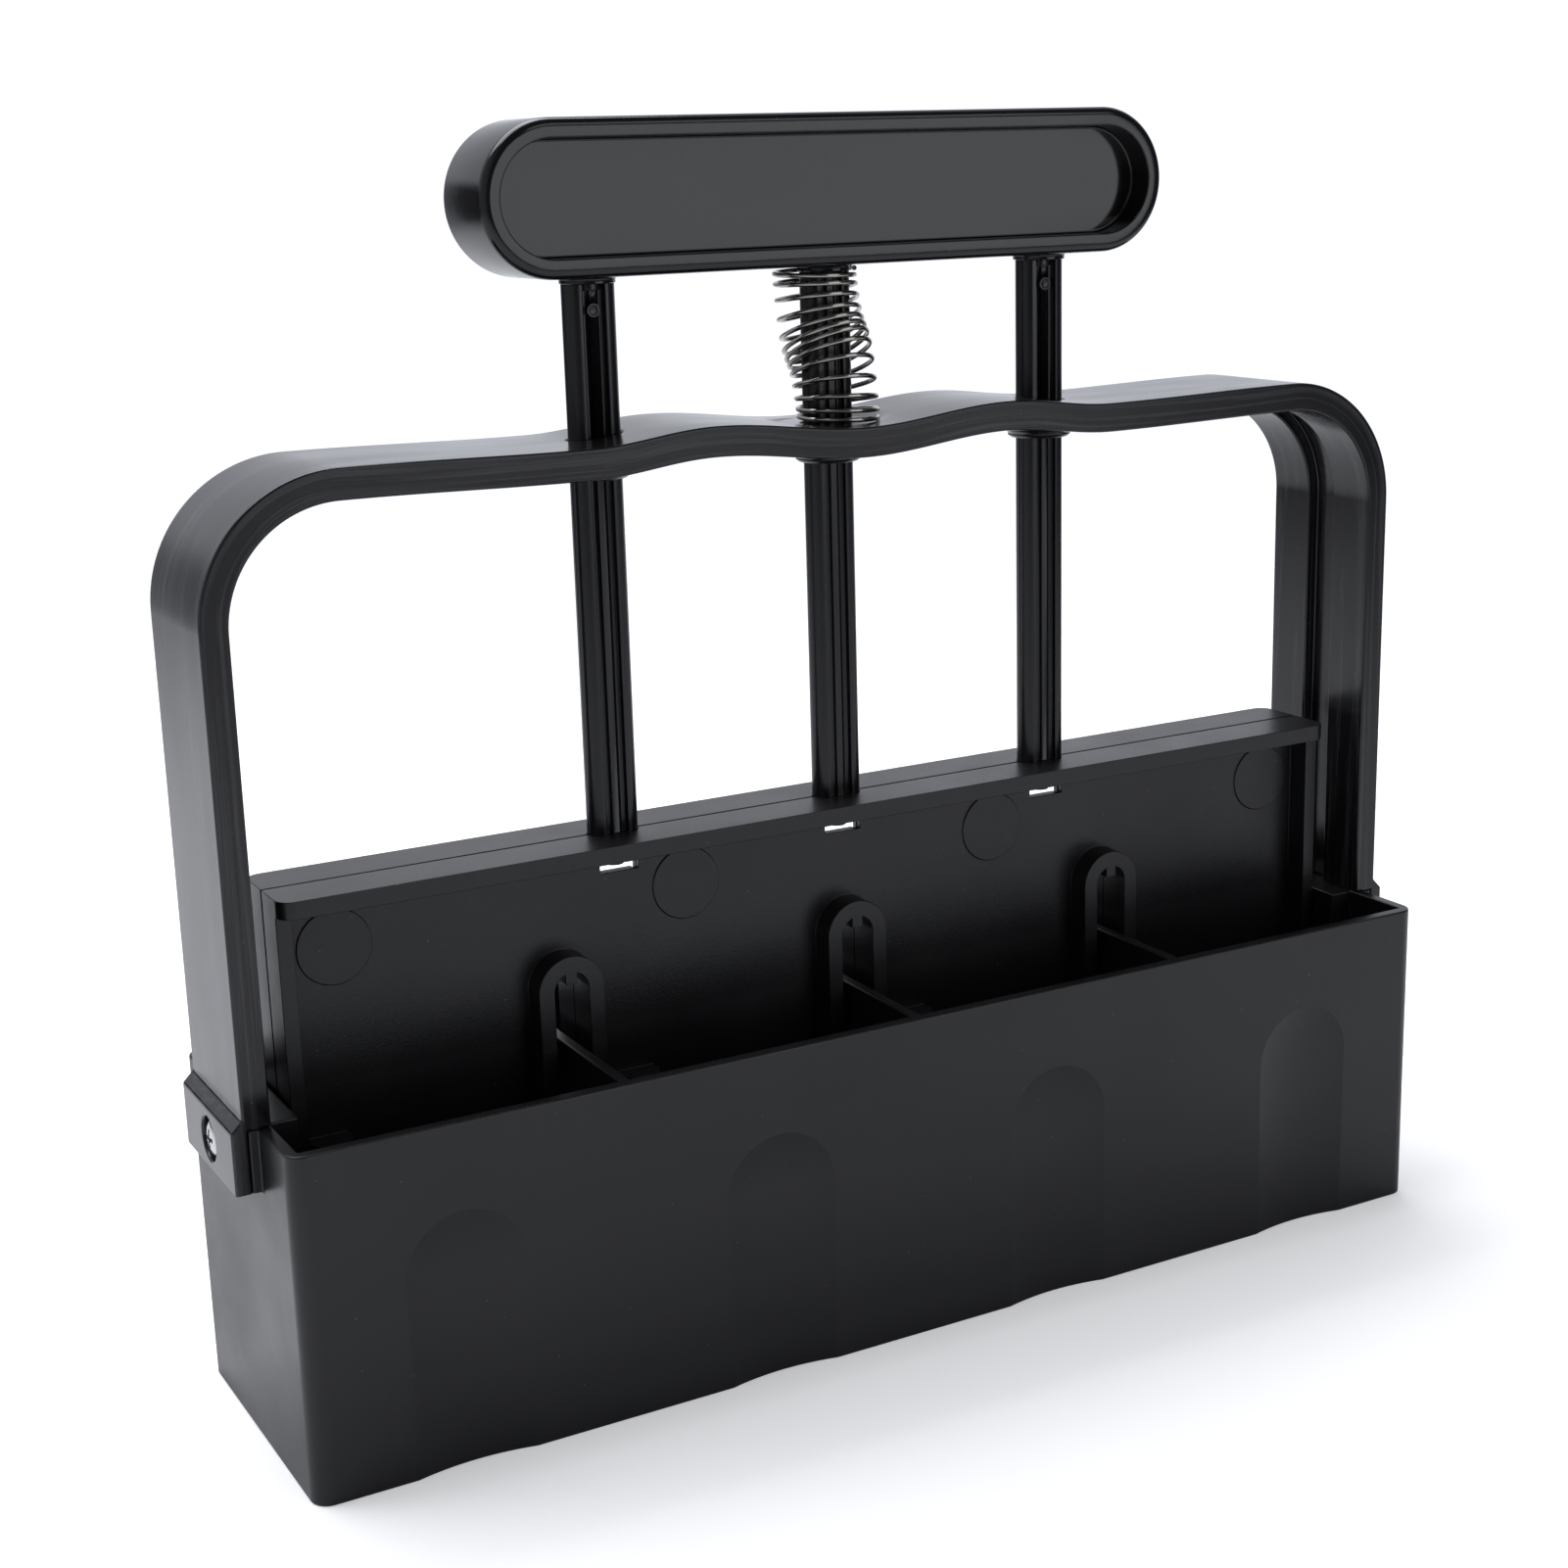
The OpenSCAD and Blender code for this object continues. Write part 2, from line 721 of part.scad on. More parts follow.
// Upright sleeve that fills the space of the coils, as thick as their wire
module spring() {
    color(plated_steel)
        translate([0, 0, spring_low])
            difference() {
                cylinder(d = spring_dia, h = spring_high - spring_low);
                translate([0, 0, -past])
                    cylinder(d = spring_dia - 2 * wire_dia, h = spring_high - spring_low + 2 * past);
            }
}

mould_box();
frame();
frame_screws();
frame_nuts();
plunger_front();
plunger_rear();
press_plate(0);  // press_plate_1
press_plate(1);  // press_plate_2
press_plate(2);  // press_plate_3
press_plate(3);  // press_plate_4
seed_pin(0);  // seed_pin_1
seed_pin(1);  // seed_pin_2
seed_pin(2);  // seed_pin_3
seed_pin(3);  // seed_pin_4
plate_screws();
rod(-rod_pitch, true);  // rod_left
rod(0, false);  // rod_centre
rod(rod_pitch, true);  // rod_right
handle();
spring();
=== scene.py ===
"""Soil blocker: the dressed model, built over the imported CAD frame.

Shapes are drawn in millimetres in the row frame (+X along the row of cells, -Y front, +Z up)
and turned to metres as the last step of each piece.
"""

import math

import bmesh
import bpy
from mathutils import Matrix, Vector


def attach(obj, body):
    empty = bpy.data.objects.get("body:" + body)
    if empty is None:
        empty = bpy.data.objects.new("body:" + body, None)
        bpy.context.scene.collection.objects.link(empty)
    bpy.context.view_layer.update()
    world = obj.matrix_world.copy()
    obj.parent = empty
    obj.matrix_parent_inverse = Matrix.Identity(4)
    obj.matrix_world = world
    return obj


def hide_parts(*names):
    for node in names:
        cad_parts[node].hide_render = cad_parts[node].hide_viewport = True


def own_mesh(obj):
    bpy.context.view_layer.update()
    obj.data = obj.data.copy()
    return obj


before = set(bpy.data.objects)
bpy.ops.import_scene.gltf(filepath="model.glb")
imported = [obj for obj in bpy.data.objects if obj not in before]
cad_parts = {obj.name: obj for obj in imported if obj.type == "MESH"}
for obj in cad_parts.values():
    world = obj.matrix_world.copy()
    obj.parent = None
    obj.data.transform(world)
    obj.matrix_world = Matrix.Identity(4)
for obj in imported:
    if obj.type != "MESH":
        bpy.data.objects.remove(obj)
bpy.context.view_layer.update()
MM = 0.001

# ---------------------------------------------------------------- sizes, in millimetres

# How far a cutter, or a part that is joined on, runs past the face where it meets the piece
OVER, JUST_OVER = 1, 0.1

# Mould box
BOX_L, BOX_D, BOX_H = 214, 53, 56
WALL, DIVIDER = 2.2, 2.0
BOX_CORNER_R = 3
CELLS = 4
CELL_PITCH = (BOX_L - 2 * WALL + DIVIDER) / CELLS
CELL_L, CELL_D = CELL_PITCH - DIVIDER, BOX_D - 2 * WALL
ARCH_END, ARCH_W, ARCH_DEPTH, ARCH_DROP = 26, 19.5, 1.2, 14
ARCH_R = ((ARCH_W / 2) ** 2 + ARCH_DEPTH ** 2) / (2 * ARCH_DEPTH)
ARCH_BALL_Z = BOX_H - ARCH_DROP - ARCH_W / 2
FOOT_H, FOOT_T = 10, 2.6
FOOT_Z = BOX_H - FOOT_H
BOSS_OUT = BOX_L / 2 + 1.6
NUT_BOSS_IN = BOX_L / 2 - WALL - 4.4
NUT_BOSS_W, NUT_BOSS_LOW = 22.6, FOOT_Z - 3.5
NUT_FLATS, NUT_POCKET = 5.5, 2.7
SCREW_Z = FOOT_Z + FOOT_H / 2
SCREW_HOLE_R, SCREW_GAP, HEAD_GAP = 1.55, 0.05, 0.7

# Frame
FRAME_D = 25.6
BAR_TOP, BAR_T = 152, 4.8
LEG_OUT, LEG_T = 109.4, 4.4
LEG_IN = LEG_OUT - LEG_T
FOOT_OUT = BOSS_OUT + FOOT_T
CORNER_R = 22
CORNER_X = LEG_OUT - CORNER_R
INNER_R = CORNER_R - LEG_T
INNER_Z = BAR_TOP - BAR_T - INNER_R
WAVE = [(0, -1.0), (27, 1.2), (48, -0.6), (CORNER_X, 0.0)]
GROOVE_W, GROOVE_DEPTH = 6.6, 2.2
GUIDE_GAP, GUIDE_BOSS_R, GUIDE_BOSS_H, GUIDE_FLARE = 0.35, 5.2, 1.4, 2.2
BOSS_CHAMFER, BOSS_STRAIGHT = 0.15, 0.2
SPRING_SEAT_Z, SPRING_SEAT_R = 151, 8.3
SEAT_RAMP_R, SEAT_RAMP_H = 11.3, 0.85

# Plunger, rods and handle
ROD_X = [-41.7, 0, 41.7]
ROD_W, ROD_D = 8.6, 4.4
ROD_LOW, LIP_TOP, ROD_TOP = 85.7, 88.5, 175
FLUTE_X, FLUTE_R, FLUTE_AXIS_Y, RIDGE_Y = 1.25, 0.65, 1.75, 1.7
TENON_R, TENON_L, TENON_GAP = 2, 8.5, 0.05
TONGUE_R, TONGUE_L = 1.6, 2.65
PRONG_IN, PRONG_T, PRONG_D, PRONG_L, PRONG_GAP = 3.5, 0.8, 1.2, 6, 0.1
BARB_OUT, BARB_H = 0.4, 1.2
STUD_DROP, STUD_R, STUD_DISH_R, STUD_STAND = 4, 1.1, 0.78, 0.2
HANDLE_L, HANDLE_H, HANDLE_D = 123, 23.4, 16
HANDLE_LOW = 176
RECESS_DEPTH = 4.6
RIM, RIM_OUTER_R, RIM_INNER_R, FLOOR_R, WALL_DRAFT = 2.75, 1.5, 0.25, 0.4, 0.1
COLLAR_R, COLLAR_FLARE, COLLAR_FLARE_H = 4.35, 0.7, 0.5
COLLAR_CHAMFER, COLLAR_SINK = 0.1, 0.05

# Half shells of the plunger
LIP_D, LIP_LOW, CAD_LIP_LOW, WEB_Y = 9, 85.65, 85.3, 2.05
PLUNGER_L, RIB_T, RIB_Y = 200, 2.5, 6.35
WINDOW_W, WINDOW_LOW, REAR_WINDOW_W, REAR_WINDOW_LOW = 6.8, 82.2, 10.8, 81.2
SEAM_GROOVE, SEAM_DEEP = 0.24, 1.2
MARK_X, MARK_Z, MARK_R, MARK_STAND = (-90, -30, 30, 90), 78.25, 6.0, 0.3
MARK_CAD_R, MARK_MARGIN, MARK_FILL, MARK_ROOT = 6.25, 0.6, 0.9, 1
ROD_GAP = 0.05

# Spring
WIRE, COIL_R, COILS = 0.8, 6.45, 13
SPRING_LOW, SPRING_HIGH = 151.45, 175.3
LEAN_LOW, LEAN_HIGH, LEAN_TURN = 1.75, 1.6, -29
COIL_TILT, COIL_NOD, PITCH_SWING = 0.36, 0.35, 0.42

# Screws
HEAD_R, HEAD_H, SHANK_R, SHANK_L = 2.8, 1.5, 1.5, 8
SCREW_SEAT = FOOT_OUT - HEAD_H
PLATE_HEAD_R, PLATE_SHANK_R, PLATE_SHANK_L = 2.6, 1.3, 6
PLATE_SEAT_Z = 41.3
PLATE_SCREW_X, PLATE_SCREW_Y = 14, 3.55
THREAD_PITCH, THREAD_DEPTH, THREAD_START = 0.5, 0.25, 0.3
PLAIN_SHANK, NECK = 1, 0.4
DOME_H, CROSS_L, CROSS_W, CROSS_DEEP = 0.9, 3, 0.72, 0.85

# Rounding of each piece's edges
BOX_EDGE, FRAME_EDGE, ROD_EDGE, SHELL_EDGE, PLATE_EDGE, NUT_EDGE = 0.35, 0.4, 0.13, 0.13, 0.2, 0.15

# ---------------------------------------------------------------- camera, lights and floor

CAMERA_AT = (-0.19976, -0.34567, 0.19281)
CAMERA_AZIMUTH, CAMERA_ELEVATION, CAMERA_ROLL = -28.77, 14.41, -1.61
CAMERA_LENS, SENSOR = 56.02, 36
LIGHT_TINT = (0.94, 0.96, 1.0)
FLOOR_HALF, FLOOR_FADE = 3, (0.45, 1.1)
FLOOR_LIFT, BACKDROP = 0.36, 1.15


def make_camera():
    """The photograph's own viewpoint."""
    azimuth, elevation = math.radians(CAMERA_AZIMUTH), math.radians(CAMERA_ELEVATION)
    roll = math.radians(CAMERA_ROLL)
    back = Vector((
        math.sin(azimuth) * math.cos(elevation),
        -math.cos(azimuth) * math.cos(elevation),
        math.sin(elevation),
    ))
    level = (-back).cross(Vector((0, 0, 1))).normalized()
    upright = level.cross(-back)
    right = level * math.cos(roll) + upright * math.sin(roll)
    up = upright * math.cos(roll) - level * math.sin(roll)
    data = bpy.data.cameras.new("camera")
    data.lens, data.sensor_width = CAMERA_LENS, SENSOR
    data.clip_start, data.clip_end = 0.01, 50
    camera = bpy.data.objects.new("camera", data)
    turn = Matrix((right, up, back)).transposed()
    camera.matrix_world = Matrix.Translation(CAMERA_AT) @ turn.to_4x4()
    bpy.context.scene.collection.objects.link(camera)
    bpy.context.scene.camera = camera


def linear(hex_colour):
    """An sRGB hex colour as linear red, green, blue and alpha."""
    out = []
    for i in (1, 3, 5):
        c = int(hex_colour[i:i + 2], 16) / 255
        out.append(c / 12.92 if c <= 0.04045 else ((c + 0.055) / 1.055) ** 2.4)
    return (*out, 1)


def add(tree, kind, inputs=None, **settings):
    """Adds a node, with its settings and with its inputs set or linked."""
    node = tree.nodes.new(kind)
    for name, value in settings.items():
        setattr(node, name, value)
    for name, value in (inputs or {}).items():
        if isinstance(value, bpy.types.NodeSocket):
            tree.links.new(value, node.inputs[name])
        else:
            node.inputs[name].default_value = value
    return node


def maths(tree, first, second, operation="ADD"):
    """The output of a Math node; ADD unless it says otherwise."""
    return add(tree, "ShaderNodeMath", {0: first, 1: second}, operation=operation).outputs[0]


def softbox(name, at, towards, width, height, power):
    """A rectangular soft light, in metres and watts."""
    data = bpy.data.lights.new(name, "AREA")
    data.shape, data.size, data.size_y, data.energy = "RECTANGLE", width, height, power
    light = bpy.data.objects.new(name, data)
    light.location = at
    way = Vector(towards) - Vector(at)
    light.rotation_euler = way.to_track_quat("-Z", "Y").to_euler()
    data.color = LIGHT_TINT
    light.visible_camera = False
    bpy.context.scene.collection.objects.link(light)


def make_room():
    """A pale floor that fades out with distance, in a white room that is bright behind the
    object and dim in front of it."""
    corners = [(x * FLOOR_HALF, y * FLOOR_HALF, 0) for x, y in ((-1, -1), (1, -1), (1, 1), (-1, 1))]
    floor = mesh_object("floor", corners, [(0, 1, 2, 3)])
    material = bpy.data.materials.new("floor_paper")
    material.use_nodes = True
    tree = material.node_tree
    paper = tree.nodes["Principled BSDF"]
    paper.inputs["Base Color"].default_value = linear("#f3f3f4")
    paper.inputs["Roughness"].default_value = 0.9
    paper.inputs["Emission Color"].default_value = (1, 1, 1, 1)
    direct = add(tree, "ShaderNodeLightPath").outputs["Is Camera Ray"]
    lift = maths(tree, direct, FLOOR_LIFT, "MULTIPLY")
    tree.links.new(lift, paper.inputs["Emission Strength"])
    where = add(tree, "ShaderNodeTexCoord").outputs["Object"]
    distance = add(tree, "ShaderNodeVectorMath", {0: where}, operation="LENGTH").outputs["Value"]
    fade = add(tree, "ShaderNodeMapRange", {
        "Value": distance, "From Min": FLOOR_FADE[0], "From Max": FLOOR_FADE[1]},
        interpolation_type="SMOOTHSTEP")
    clear = add(tree, "ShaderNodeBsdfTransparent")
    both = add(tree, "ShaderNodeMixShader", {
        0: fade.outputs["Result"], 1: paper.outputs[0], 2: clear.outputs[0]})
    tree.links.new(both.outputs[0], tree.nodes["Material Output"].inputs["Surface"])
    floor.data.materials.append(material)

    world = bpy.data.worlds.new("room")
    world.use_nodes = True
    bpy.context.scene.world = world
    tree = world.node_tree
    tree.nodes.clear()
    way = add(tree, "ShaderNodeTexCoord").outputs["Generated"]
    parts = add(tree, "ShaderNodeSeparateXYZ", {"Vector": way})

    def ramp(axis, start, end, low, high):
        return add(tree, "ShaderNodeMapRange", {
            "Value": parts.outputs[axis], "From Min": start, "From Max": end, "To Min": low,
            "To Max": high}, interpolation_type="SMOOTHSTEP").outputs["Result"]

    left = ramp("X", -0.6, -0.95, 0.05, 0.35)
    sides = maths(tree, ramp("X", -0.37, -0.25, 0.0, 0.45), ramp("X", -0.1, 0.45, 0.0, 0.65))
    near_horizon = maths(tree, left, sides)
    height = ramp("Z", 0.1, 0.22, 0.0, 1.0)
    behind = add(tree, "ShaderNodeMix", {0: height, 2: near_horizon, 3: 0.85}).outputs[0]
    back = ramp("Y", 0.0, 0.45, 0.0, 1.0)
    front = ramp("X", -0.25, -0.9, 0.09, 0.5)
    around = add(tree, "ShaderNodeMix", {0: back, 2: front, 3: behind}).outputs[0]
    above = ramp("Z", -0.6, -0.2, 0.0, 1.0)
    glow = add(tree, "ShaderNodeMix", {0: above, 2: 0.05, 3: around}).outputs[0]
    seen = add(tree, "ShaderNodeLightPath").outputs["Is Camera Ray"]
    strength = add(tree, "ShaderNodeMix", {0: seen, 2: glow, 3: BACKDROP})
    light = add(tree, "ShaderNodeBackground", {
        "Color": linear("#f3f6ff"), "Strength": strength.outputs[0]})
    add(tree, "ShaderNodeOutputWorld", {"Surface": light.outputs[0]})

    softbox("top_softbox", (-0.15, 0.3, 0.95), (0, 0, 0.05), 1.0, 0.6, 11)
    softbox("front_softbox", (0.42, -0.95, 0.25), (0, 0, 0.19), 0.63, 0.4, 1.7)
    softbox("upper_softbox", (0.42, -0.75, 0.75), (0, 0, 0.18), 0.6, 0.35, 1.0)


# ---------------------------------------------------------------- shapes


def mesh_object(name, verts, faces):
    mesh = bpy.data.meshes.new(name)
    mesh.from_pydata([tuple(v) for v in verts], [], faces)
    piece = bpy.data.objects.new(name, mesh)
    bpy.context.scene.collection.objects.link(piece)
    return piece


def applied(piece):
    """The piece with its modifiers made part of its mesh."""
    graph = bpy.context.evaluated_depsgraph_get()
    done = bpy.data.meshes.new_from_object(piece.evaluated_get(graph), depsgraph=graph)
    piece.modifiers.clear()
    old, piece.data = piece.data, done
    bpy.data.meshes.remove(old)
    return piece


def combine(piece, tool, how):
    """Cuts the tool from the piece, or joins it on, and uses the tool up."""
    step = piece.modifiers.new("combine", "BOOLEAN")
    step.operation, step.solver, step.object = how, "EXACT", tool
    applied(piece)
    bpy.data.objects.remove(tool)


def cut(piece, tool):
    combine(piece, tool, "DIFFERENCE")


def join(piece, tool):
    combine(piece, tool, "UNION")


def skin(name, loops, close_ends=True):
    """Joins closed loops of as many points each into one skin."""
    n = len(loops[0])
    verts = [p for loop in loops for p in loop]
    faces = []
    for k in range(len(loops) - 1):
        for i in range(n):
            j = (i + 1) % n
            faces.append((k * n + i, k * n + j, (k + 1) * n + j, (k + 1) * n + i))
    if close_ends:
        faces.append(tuple(range(n - 1, -1, -1)))
        faces.append(tuple(range((len(loops) - 1) * n, len(loops) * n)))
    return recalculated(mesh_object(name, verts, faces))


def recalculated(piece, merge=1e-4):
    """Merges doubles and turns every face outwards."""
    bm = bmesh.new()
    bm.from_mesh(piece.data)
    bmesh.ops.remove_doubles(bm, verts=bm.verts, dist=merge)
    bmesh.ops.recalc_face_normals(bm, faces=bm.faces)
    bm.to_mesh(piece.data)
    bm.free()
    return piece


def block(low, high):
    """A plain cutter between two corners."""
    (x0, y0, z0), (x1, y1, z1) = low, high
    return skin("block", [[(x0, y0, z), (x1, y0, z), (x1, y1, z), (x0, y1, z)] for z in (z0, z1)])


def circle(r, sides):
    turns = [2 * math.pi * i / sides for i in range(sides)]
    return [(r * math.cos(a), r * math.sin(a)) for a in turns]


def lathe(profile, sides=64, at=(0, 0, 0), turn=None):
    """Turns (radius, height) points about Z, then turns and moves the result."""
    loops = [[(x, y, z) for x, y in circle(max(r, 1e-5), sides)] for r, z in profile]
    piece = skin("lathe", loops)
    if turn:
        piece.data.transform(turn)
    piece.data.transform(Matrix.Translation(at))
    return piece


def drum(r, low, high, at=(0, 0, 0), turn=None, sides=64):
    return lathe([(r, low), (r, high)], sides, at, turn)


def rounded_rectangle(l, d, r, steps=14):
    """Points of a rounded rectangle centred on the origin."""
    points = []
    for cx, cy, first in ((1, 1, 0), (-1, 1, 90), (-1, -1, 180), (1, -1, 270)):
        for i in range(steps + 1):
            a = math.radians(first + 90 * i / steps)
            points.append((cx * (l / 2 - r) + r * math.cos(a), cy * (d / 2 - r) + r * math.sin(a)))
    return points


def copy_of(node):
    """A CAD node's own shape as a clean mesh, in millimetres."""
    piece = bpy.data.objects.new(node + "_dressed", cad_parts[node].data.copy())
    bpy.context.scene.collection.objects.link(piece)
    piece.data.materials.clear()
    piece.data.transform(Matrix.Scale(1 / MM, 4))
    bm = bmesh.new()
    bm.from_mesh(piece.data)
    bmesh.ops.remove_doubles(bm, verts=bm.verts, dist=1e-3)
    bmesh.ops.dissolve_limit(bm, angle_limit=math.radians(0.5), verts=bm.verts, edges=bm.edges)
    bm.to_mesh(piece.data)
    bm.free()
    return piece


def soften(piece, width, angle=28, steps=3, crease=None):
    """Rounds the edges sharper than an angle. The rest is shaded smoothly, but edges between the
    crease angle and that angle stay crisp."""
    bm = bmesh.new()
    bm.from_mesh(piece.data)
    bmesh.ops.remove_doubles(bm, verts=bm.verts, dist=1e-3)
    bmesh.ops.dissolve_limit(bm, angle_limit=math.radians(0.2), verts=bm.verts, edges=bm.edges)
    for face in bm.faces:
        face.smooth = True
    if crease:
        for edge in bm.edges:
            turn = math.degrees(edge.calc_face_angle(0.0))
            edge.smooth = not crease < turn < angle
    bm.to_mesh(piece.data)
    bm.free()
    edge = piece.modifiers.new("edges", "BEVEL")
    edge.width, edge.segments, edge.limit_method = width, steps, "ANGLE"
    edge.angle_limit = math.radians(angle)
    edge.use_clamp_overlap = False
    normals = piece.modifiers.new("normals", "WEIGHTED_NORMAL")
    normals.keep_sharp = True
    return applied(piece)


def smooth(piece, angle=35):
    """Smooth shading, with creases where the shape turns sharply."""
    piece.data.shade_smooth()
    piece.data.set_sharp_from_angle(angle=math.radians(angle))
    return piece


def place(piece, name, material, body, slot, *nodes):
    """Finishes a piece: metres, name, material, body and the CAD nodes it stands for; its slot is
    not used.
    """
    piece.data.transform(Matrix.Scale(MM, 4))
    piece.name = piece.data.name = name
    piece.data.materials.clear()
    piece.data.materials.append(material)
    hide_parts(*nodes)
    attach(piece, body)
    return piece


# ---------------------------------------------------------------- materials


def per_mm(size):
    """Pattern scale on Object coordinates, which are metres, for a pattern of this size in mm."""
    return 1 / (size * MM)


def moulded(name, colour, roughness, grain, grain_depth, flow=(26, 26, 26), dust=0.0):
    """Injection-moulded black plastic. Its skin copies the mould: an even fine grain gives the
    soft edge of each reflection, slow flow marks change the gloss from place to place, and a few
    dust specks catch the light. Returns the material and its tree, coordinates, shader and bump."""
    material = bpy.data.materials.new(name)
    material.use_nodes = True
    tree = material.node_tree
    shader = tree.nodes["Principled BSDF"]
    where = add(tree, "ShaderNodeTexCoord").outputs["Object"]
    fine = add(tree, "ShaderNodeTexNoise", {
        "Vector": where, "Scale": per_mm(grain), "Detail": 3.0, "Roughness": 0.6})
    stretched = add(tree, "ShaderNodeMapping", {
        "Vector": where, "Scale": [per_mm(size) for size in flow]})
    slow = add(tree, "ShaderNodeTexNoise", {
        "Vector": stretched.outputs[0], "Scale": 1.0, "Detail": 4.0, "Roughness": 0.55})
    gloss = add(tree, "ShaderNodeMapRange", {
        "Value": slow.outputs["Fac"], "From Min": 0.3, "From Max": 0.7,
        "To Min": roughness * 0.85, "To Max": roughness * 1.2})
    tree.links.new(gloss.outputs[0], shader.inputs["Roughness"])
    specks = add(tree, "ShaderNodeTexVoronoi", {"Vector": where, "Scale": per_mm(3.2)})
    speck = add(tree, "ShaderNodeMapRange", {
        "Value": specks.outputs["Distance"], "From Min": 0.035, "From Max": 0.02,
        "To Min": 0.0, "To Max": dust})
    tint = add(tree, "ShaderNodeMix", {
        "Factor": speck.outputs[0], "A": linear(colour), "B": linear("#8d8d90")}, data_type="RGBA")
    tree.links.new(tint.outputs["Result"], shader.inputs["Base Color"])
    bump = add(tree, "ShaderNodeBump", {
        "Height": fine.outputs["Fac"], "Strength": 1.0, "Distance": grain_depth * MM})
    tree.links.new(bump.outputs[0], shader.inputs["Normal"])
    shader.inputs["IOR"].default_value = 1.43
    return material, tree, where, shader, bump


def streaks(tree, where, shader, bump, sizes, depth):
    """Adds faint lines along a moulding, left by the polishing of its mould, to its bump, and
    returns the lines."""
    stretched = add(tree, "ShaderNodeMapping", {
        "Vector": where, "Scale": [per_mm(size) for size in sizes]})
    lines = add(tree, "ShaderNodeTexNoise", {
        "Vector": stretched.outputs[0], "Scale": 1.0, "Detail": 5.0, "Roughness": 0.65})
    second = add(tree, "ShaderNodeBump", {
        "Height": lines.outputs["Fac"], "Normal": bump.outputs[0], "Strength": 1.0,
        "Distance": depth * MM})
    tree.links.new(second.outputs[0], shader.inputs["Normal"])
    return lines.outputs["Fac"]


def bar_lines(tree, where):
    """Coordinates along, across and through the frame: they follow its waved bar, go round its
    corners and run down its legs."""
    parts = add(tree, "ShaderNodeSeparateXYZ", {"Vector": where}).outputs
    share = add(tree, "ShaderNodeMapRange", {
        "Value": parts["X"], "From Min": -CORNER_X * MM, "From Max": CORNER_X * MM})
    curve = add(tree, "ShaderNodeFloatCurve", {"Value": share.outputs[0]})
    low, high = (pick(z for _, z in WAVE) for pick in (min, max))
    both_ways = [(-x, z) for x, z in WAVE[:0:-1]] + WAVE
    points = [(x / CORNER_X / 2 + 0.5, (z - low) / (high - low)) for x, z in both_ways]
    line = curve.mapping.curves[0]
    line.points[0].location, line.points[1].location = points[0], points[-1]
    for x, z in points[1:-1]:
        line.points.new(x, z)
    curve.mapping.update()
    rise = add(tree, "ShaderNodeMapRange", {
        "Value": curve.outputs[0], "To Min": low * MM, "To Max": high * MM}).outputs[0]
    above = maths(tree, parts["Z"], (BAR_TOP - CORNER_R) * MM, "SUBTRACT")
    level = maths(tree, above, rise, "SUBTRACT")
    aside = add(tree, "ShaderNodeMath", {0: parts["X"]}, operation="ABSOLUTE").outputs[0]
    past = maths(tree, aside, CORNER_X * MM, "SUBTRACT")
    out = add(tree, "ShaderNodeCombineXYZ", {
        "X": maths(tree, past, 0.0, "MAXIMUM"), "Y": maths(tree, level, 0.0, "MAXIMUM")})
    reach = add(tree, "ShaderNodeVectorMath", {0: out.outputs[0]}, operation="LENGTH")
    return add(tree, "ShaderNodeCombineXYZ", {
        "X": maths(tree, parts["X"], parts["Z"]), "Y": parts["Y"],
        "Z": reach.outputs["Value"]}).outputs[0]


def box_plastic():
    """Satin moulded polypropylene: dark, with a soft sheen and broad blurred reflections."""
    return moulded("moulded_polypropylene_satin", "#131315", 0.34, 0.35, 0.004, dust=0.5)[0]


def frame_plastic():
    """Glossy moulded ABS: sharper highlights along the bar, fine polishing lines in its bump that
    follow its wave and run down the legs, and pale painted highlights drawn out along the same
    lines."""
    material, tree, where, shader, bump = moulded(
        "moulded_abs_gloss", "#101011", 0.2, 0.4, 0.0012, flow=(40, 12, 30), dust=0.4)
    along = bar_lines(tree, where)
    lines = streaks(tree, along, shader, bump, (60, 3, 0.8), 0.01)
    # Painted highlight: pale streaks lightened into the base colour stand in for the long bright
    # reflections along the glossy bar and down its legs.
    pale = add(tree, "ShaderNodeMapRange", {
        "Value": lines, "From Min": 0.48, "From Max": 0.7, "To Min": 0.0, "To Max": 0.2})
    plain = shader.inputs["Base Color"].links[0].from_socket
    tint = add(tree, "ShaderNodeMix", {
        "Factor": pale.outputs[0], "A": plain, "B": linear("#77777c")}, data_type="RGBA")
    tree.links.new(tint.outputs["Result"], shader.inputs["Base Color"])
    return material


def handle_plastic():
    """High-gloss moulded ABS from a polished mould: mirror-like, slightly wavy highlights."""
    material, tree, where, shader, bump = moulded(
        "moulded_abs_polished", "#0e0e0f", 0.13, 0.5, 0.0006, flow=(30, 18, 14), dust=0.3)
    streaks(tree, where, shader, bump, (22, 9, 7), 0.035)
    return material


def rod_plastic():
    """Glossy moulded nylon: long thin highlights that run down each flute."""
    material, tree, where, shader, bump = moulded(
        "moulded_nylon_gloss", "#0d0d0f", 0.25, 0.4, 0.001, flow=(3, 3, 40), dust=0.3)
    streaks(tree, where, shader, bump, (1.2, 1.2, 45), 0.01)
    return material


def plunger_plastic():
    """Fine-textured moulded polypropylene: an even powdery sheen that greys at low angles."""
    material, tree, where, shader, bump = moulded(
        "moulded_polypropylene_textured", "#151517", 0.33, 0.35, 0.03, dust=0.5)
    streaks(tree, where, shader, bump, (14, 14, 50), 0.02)
    return material


def plate_plastic():
    """The same textured polypropylene, a little duller where soil rubs it."""
    return moulded("moulded_polypropylene_dull", "#19191b", 0.42, 0.3, 0.008)[0]


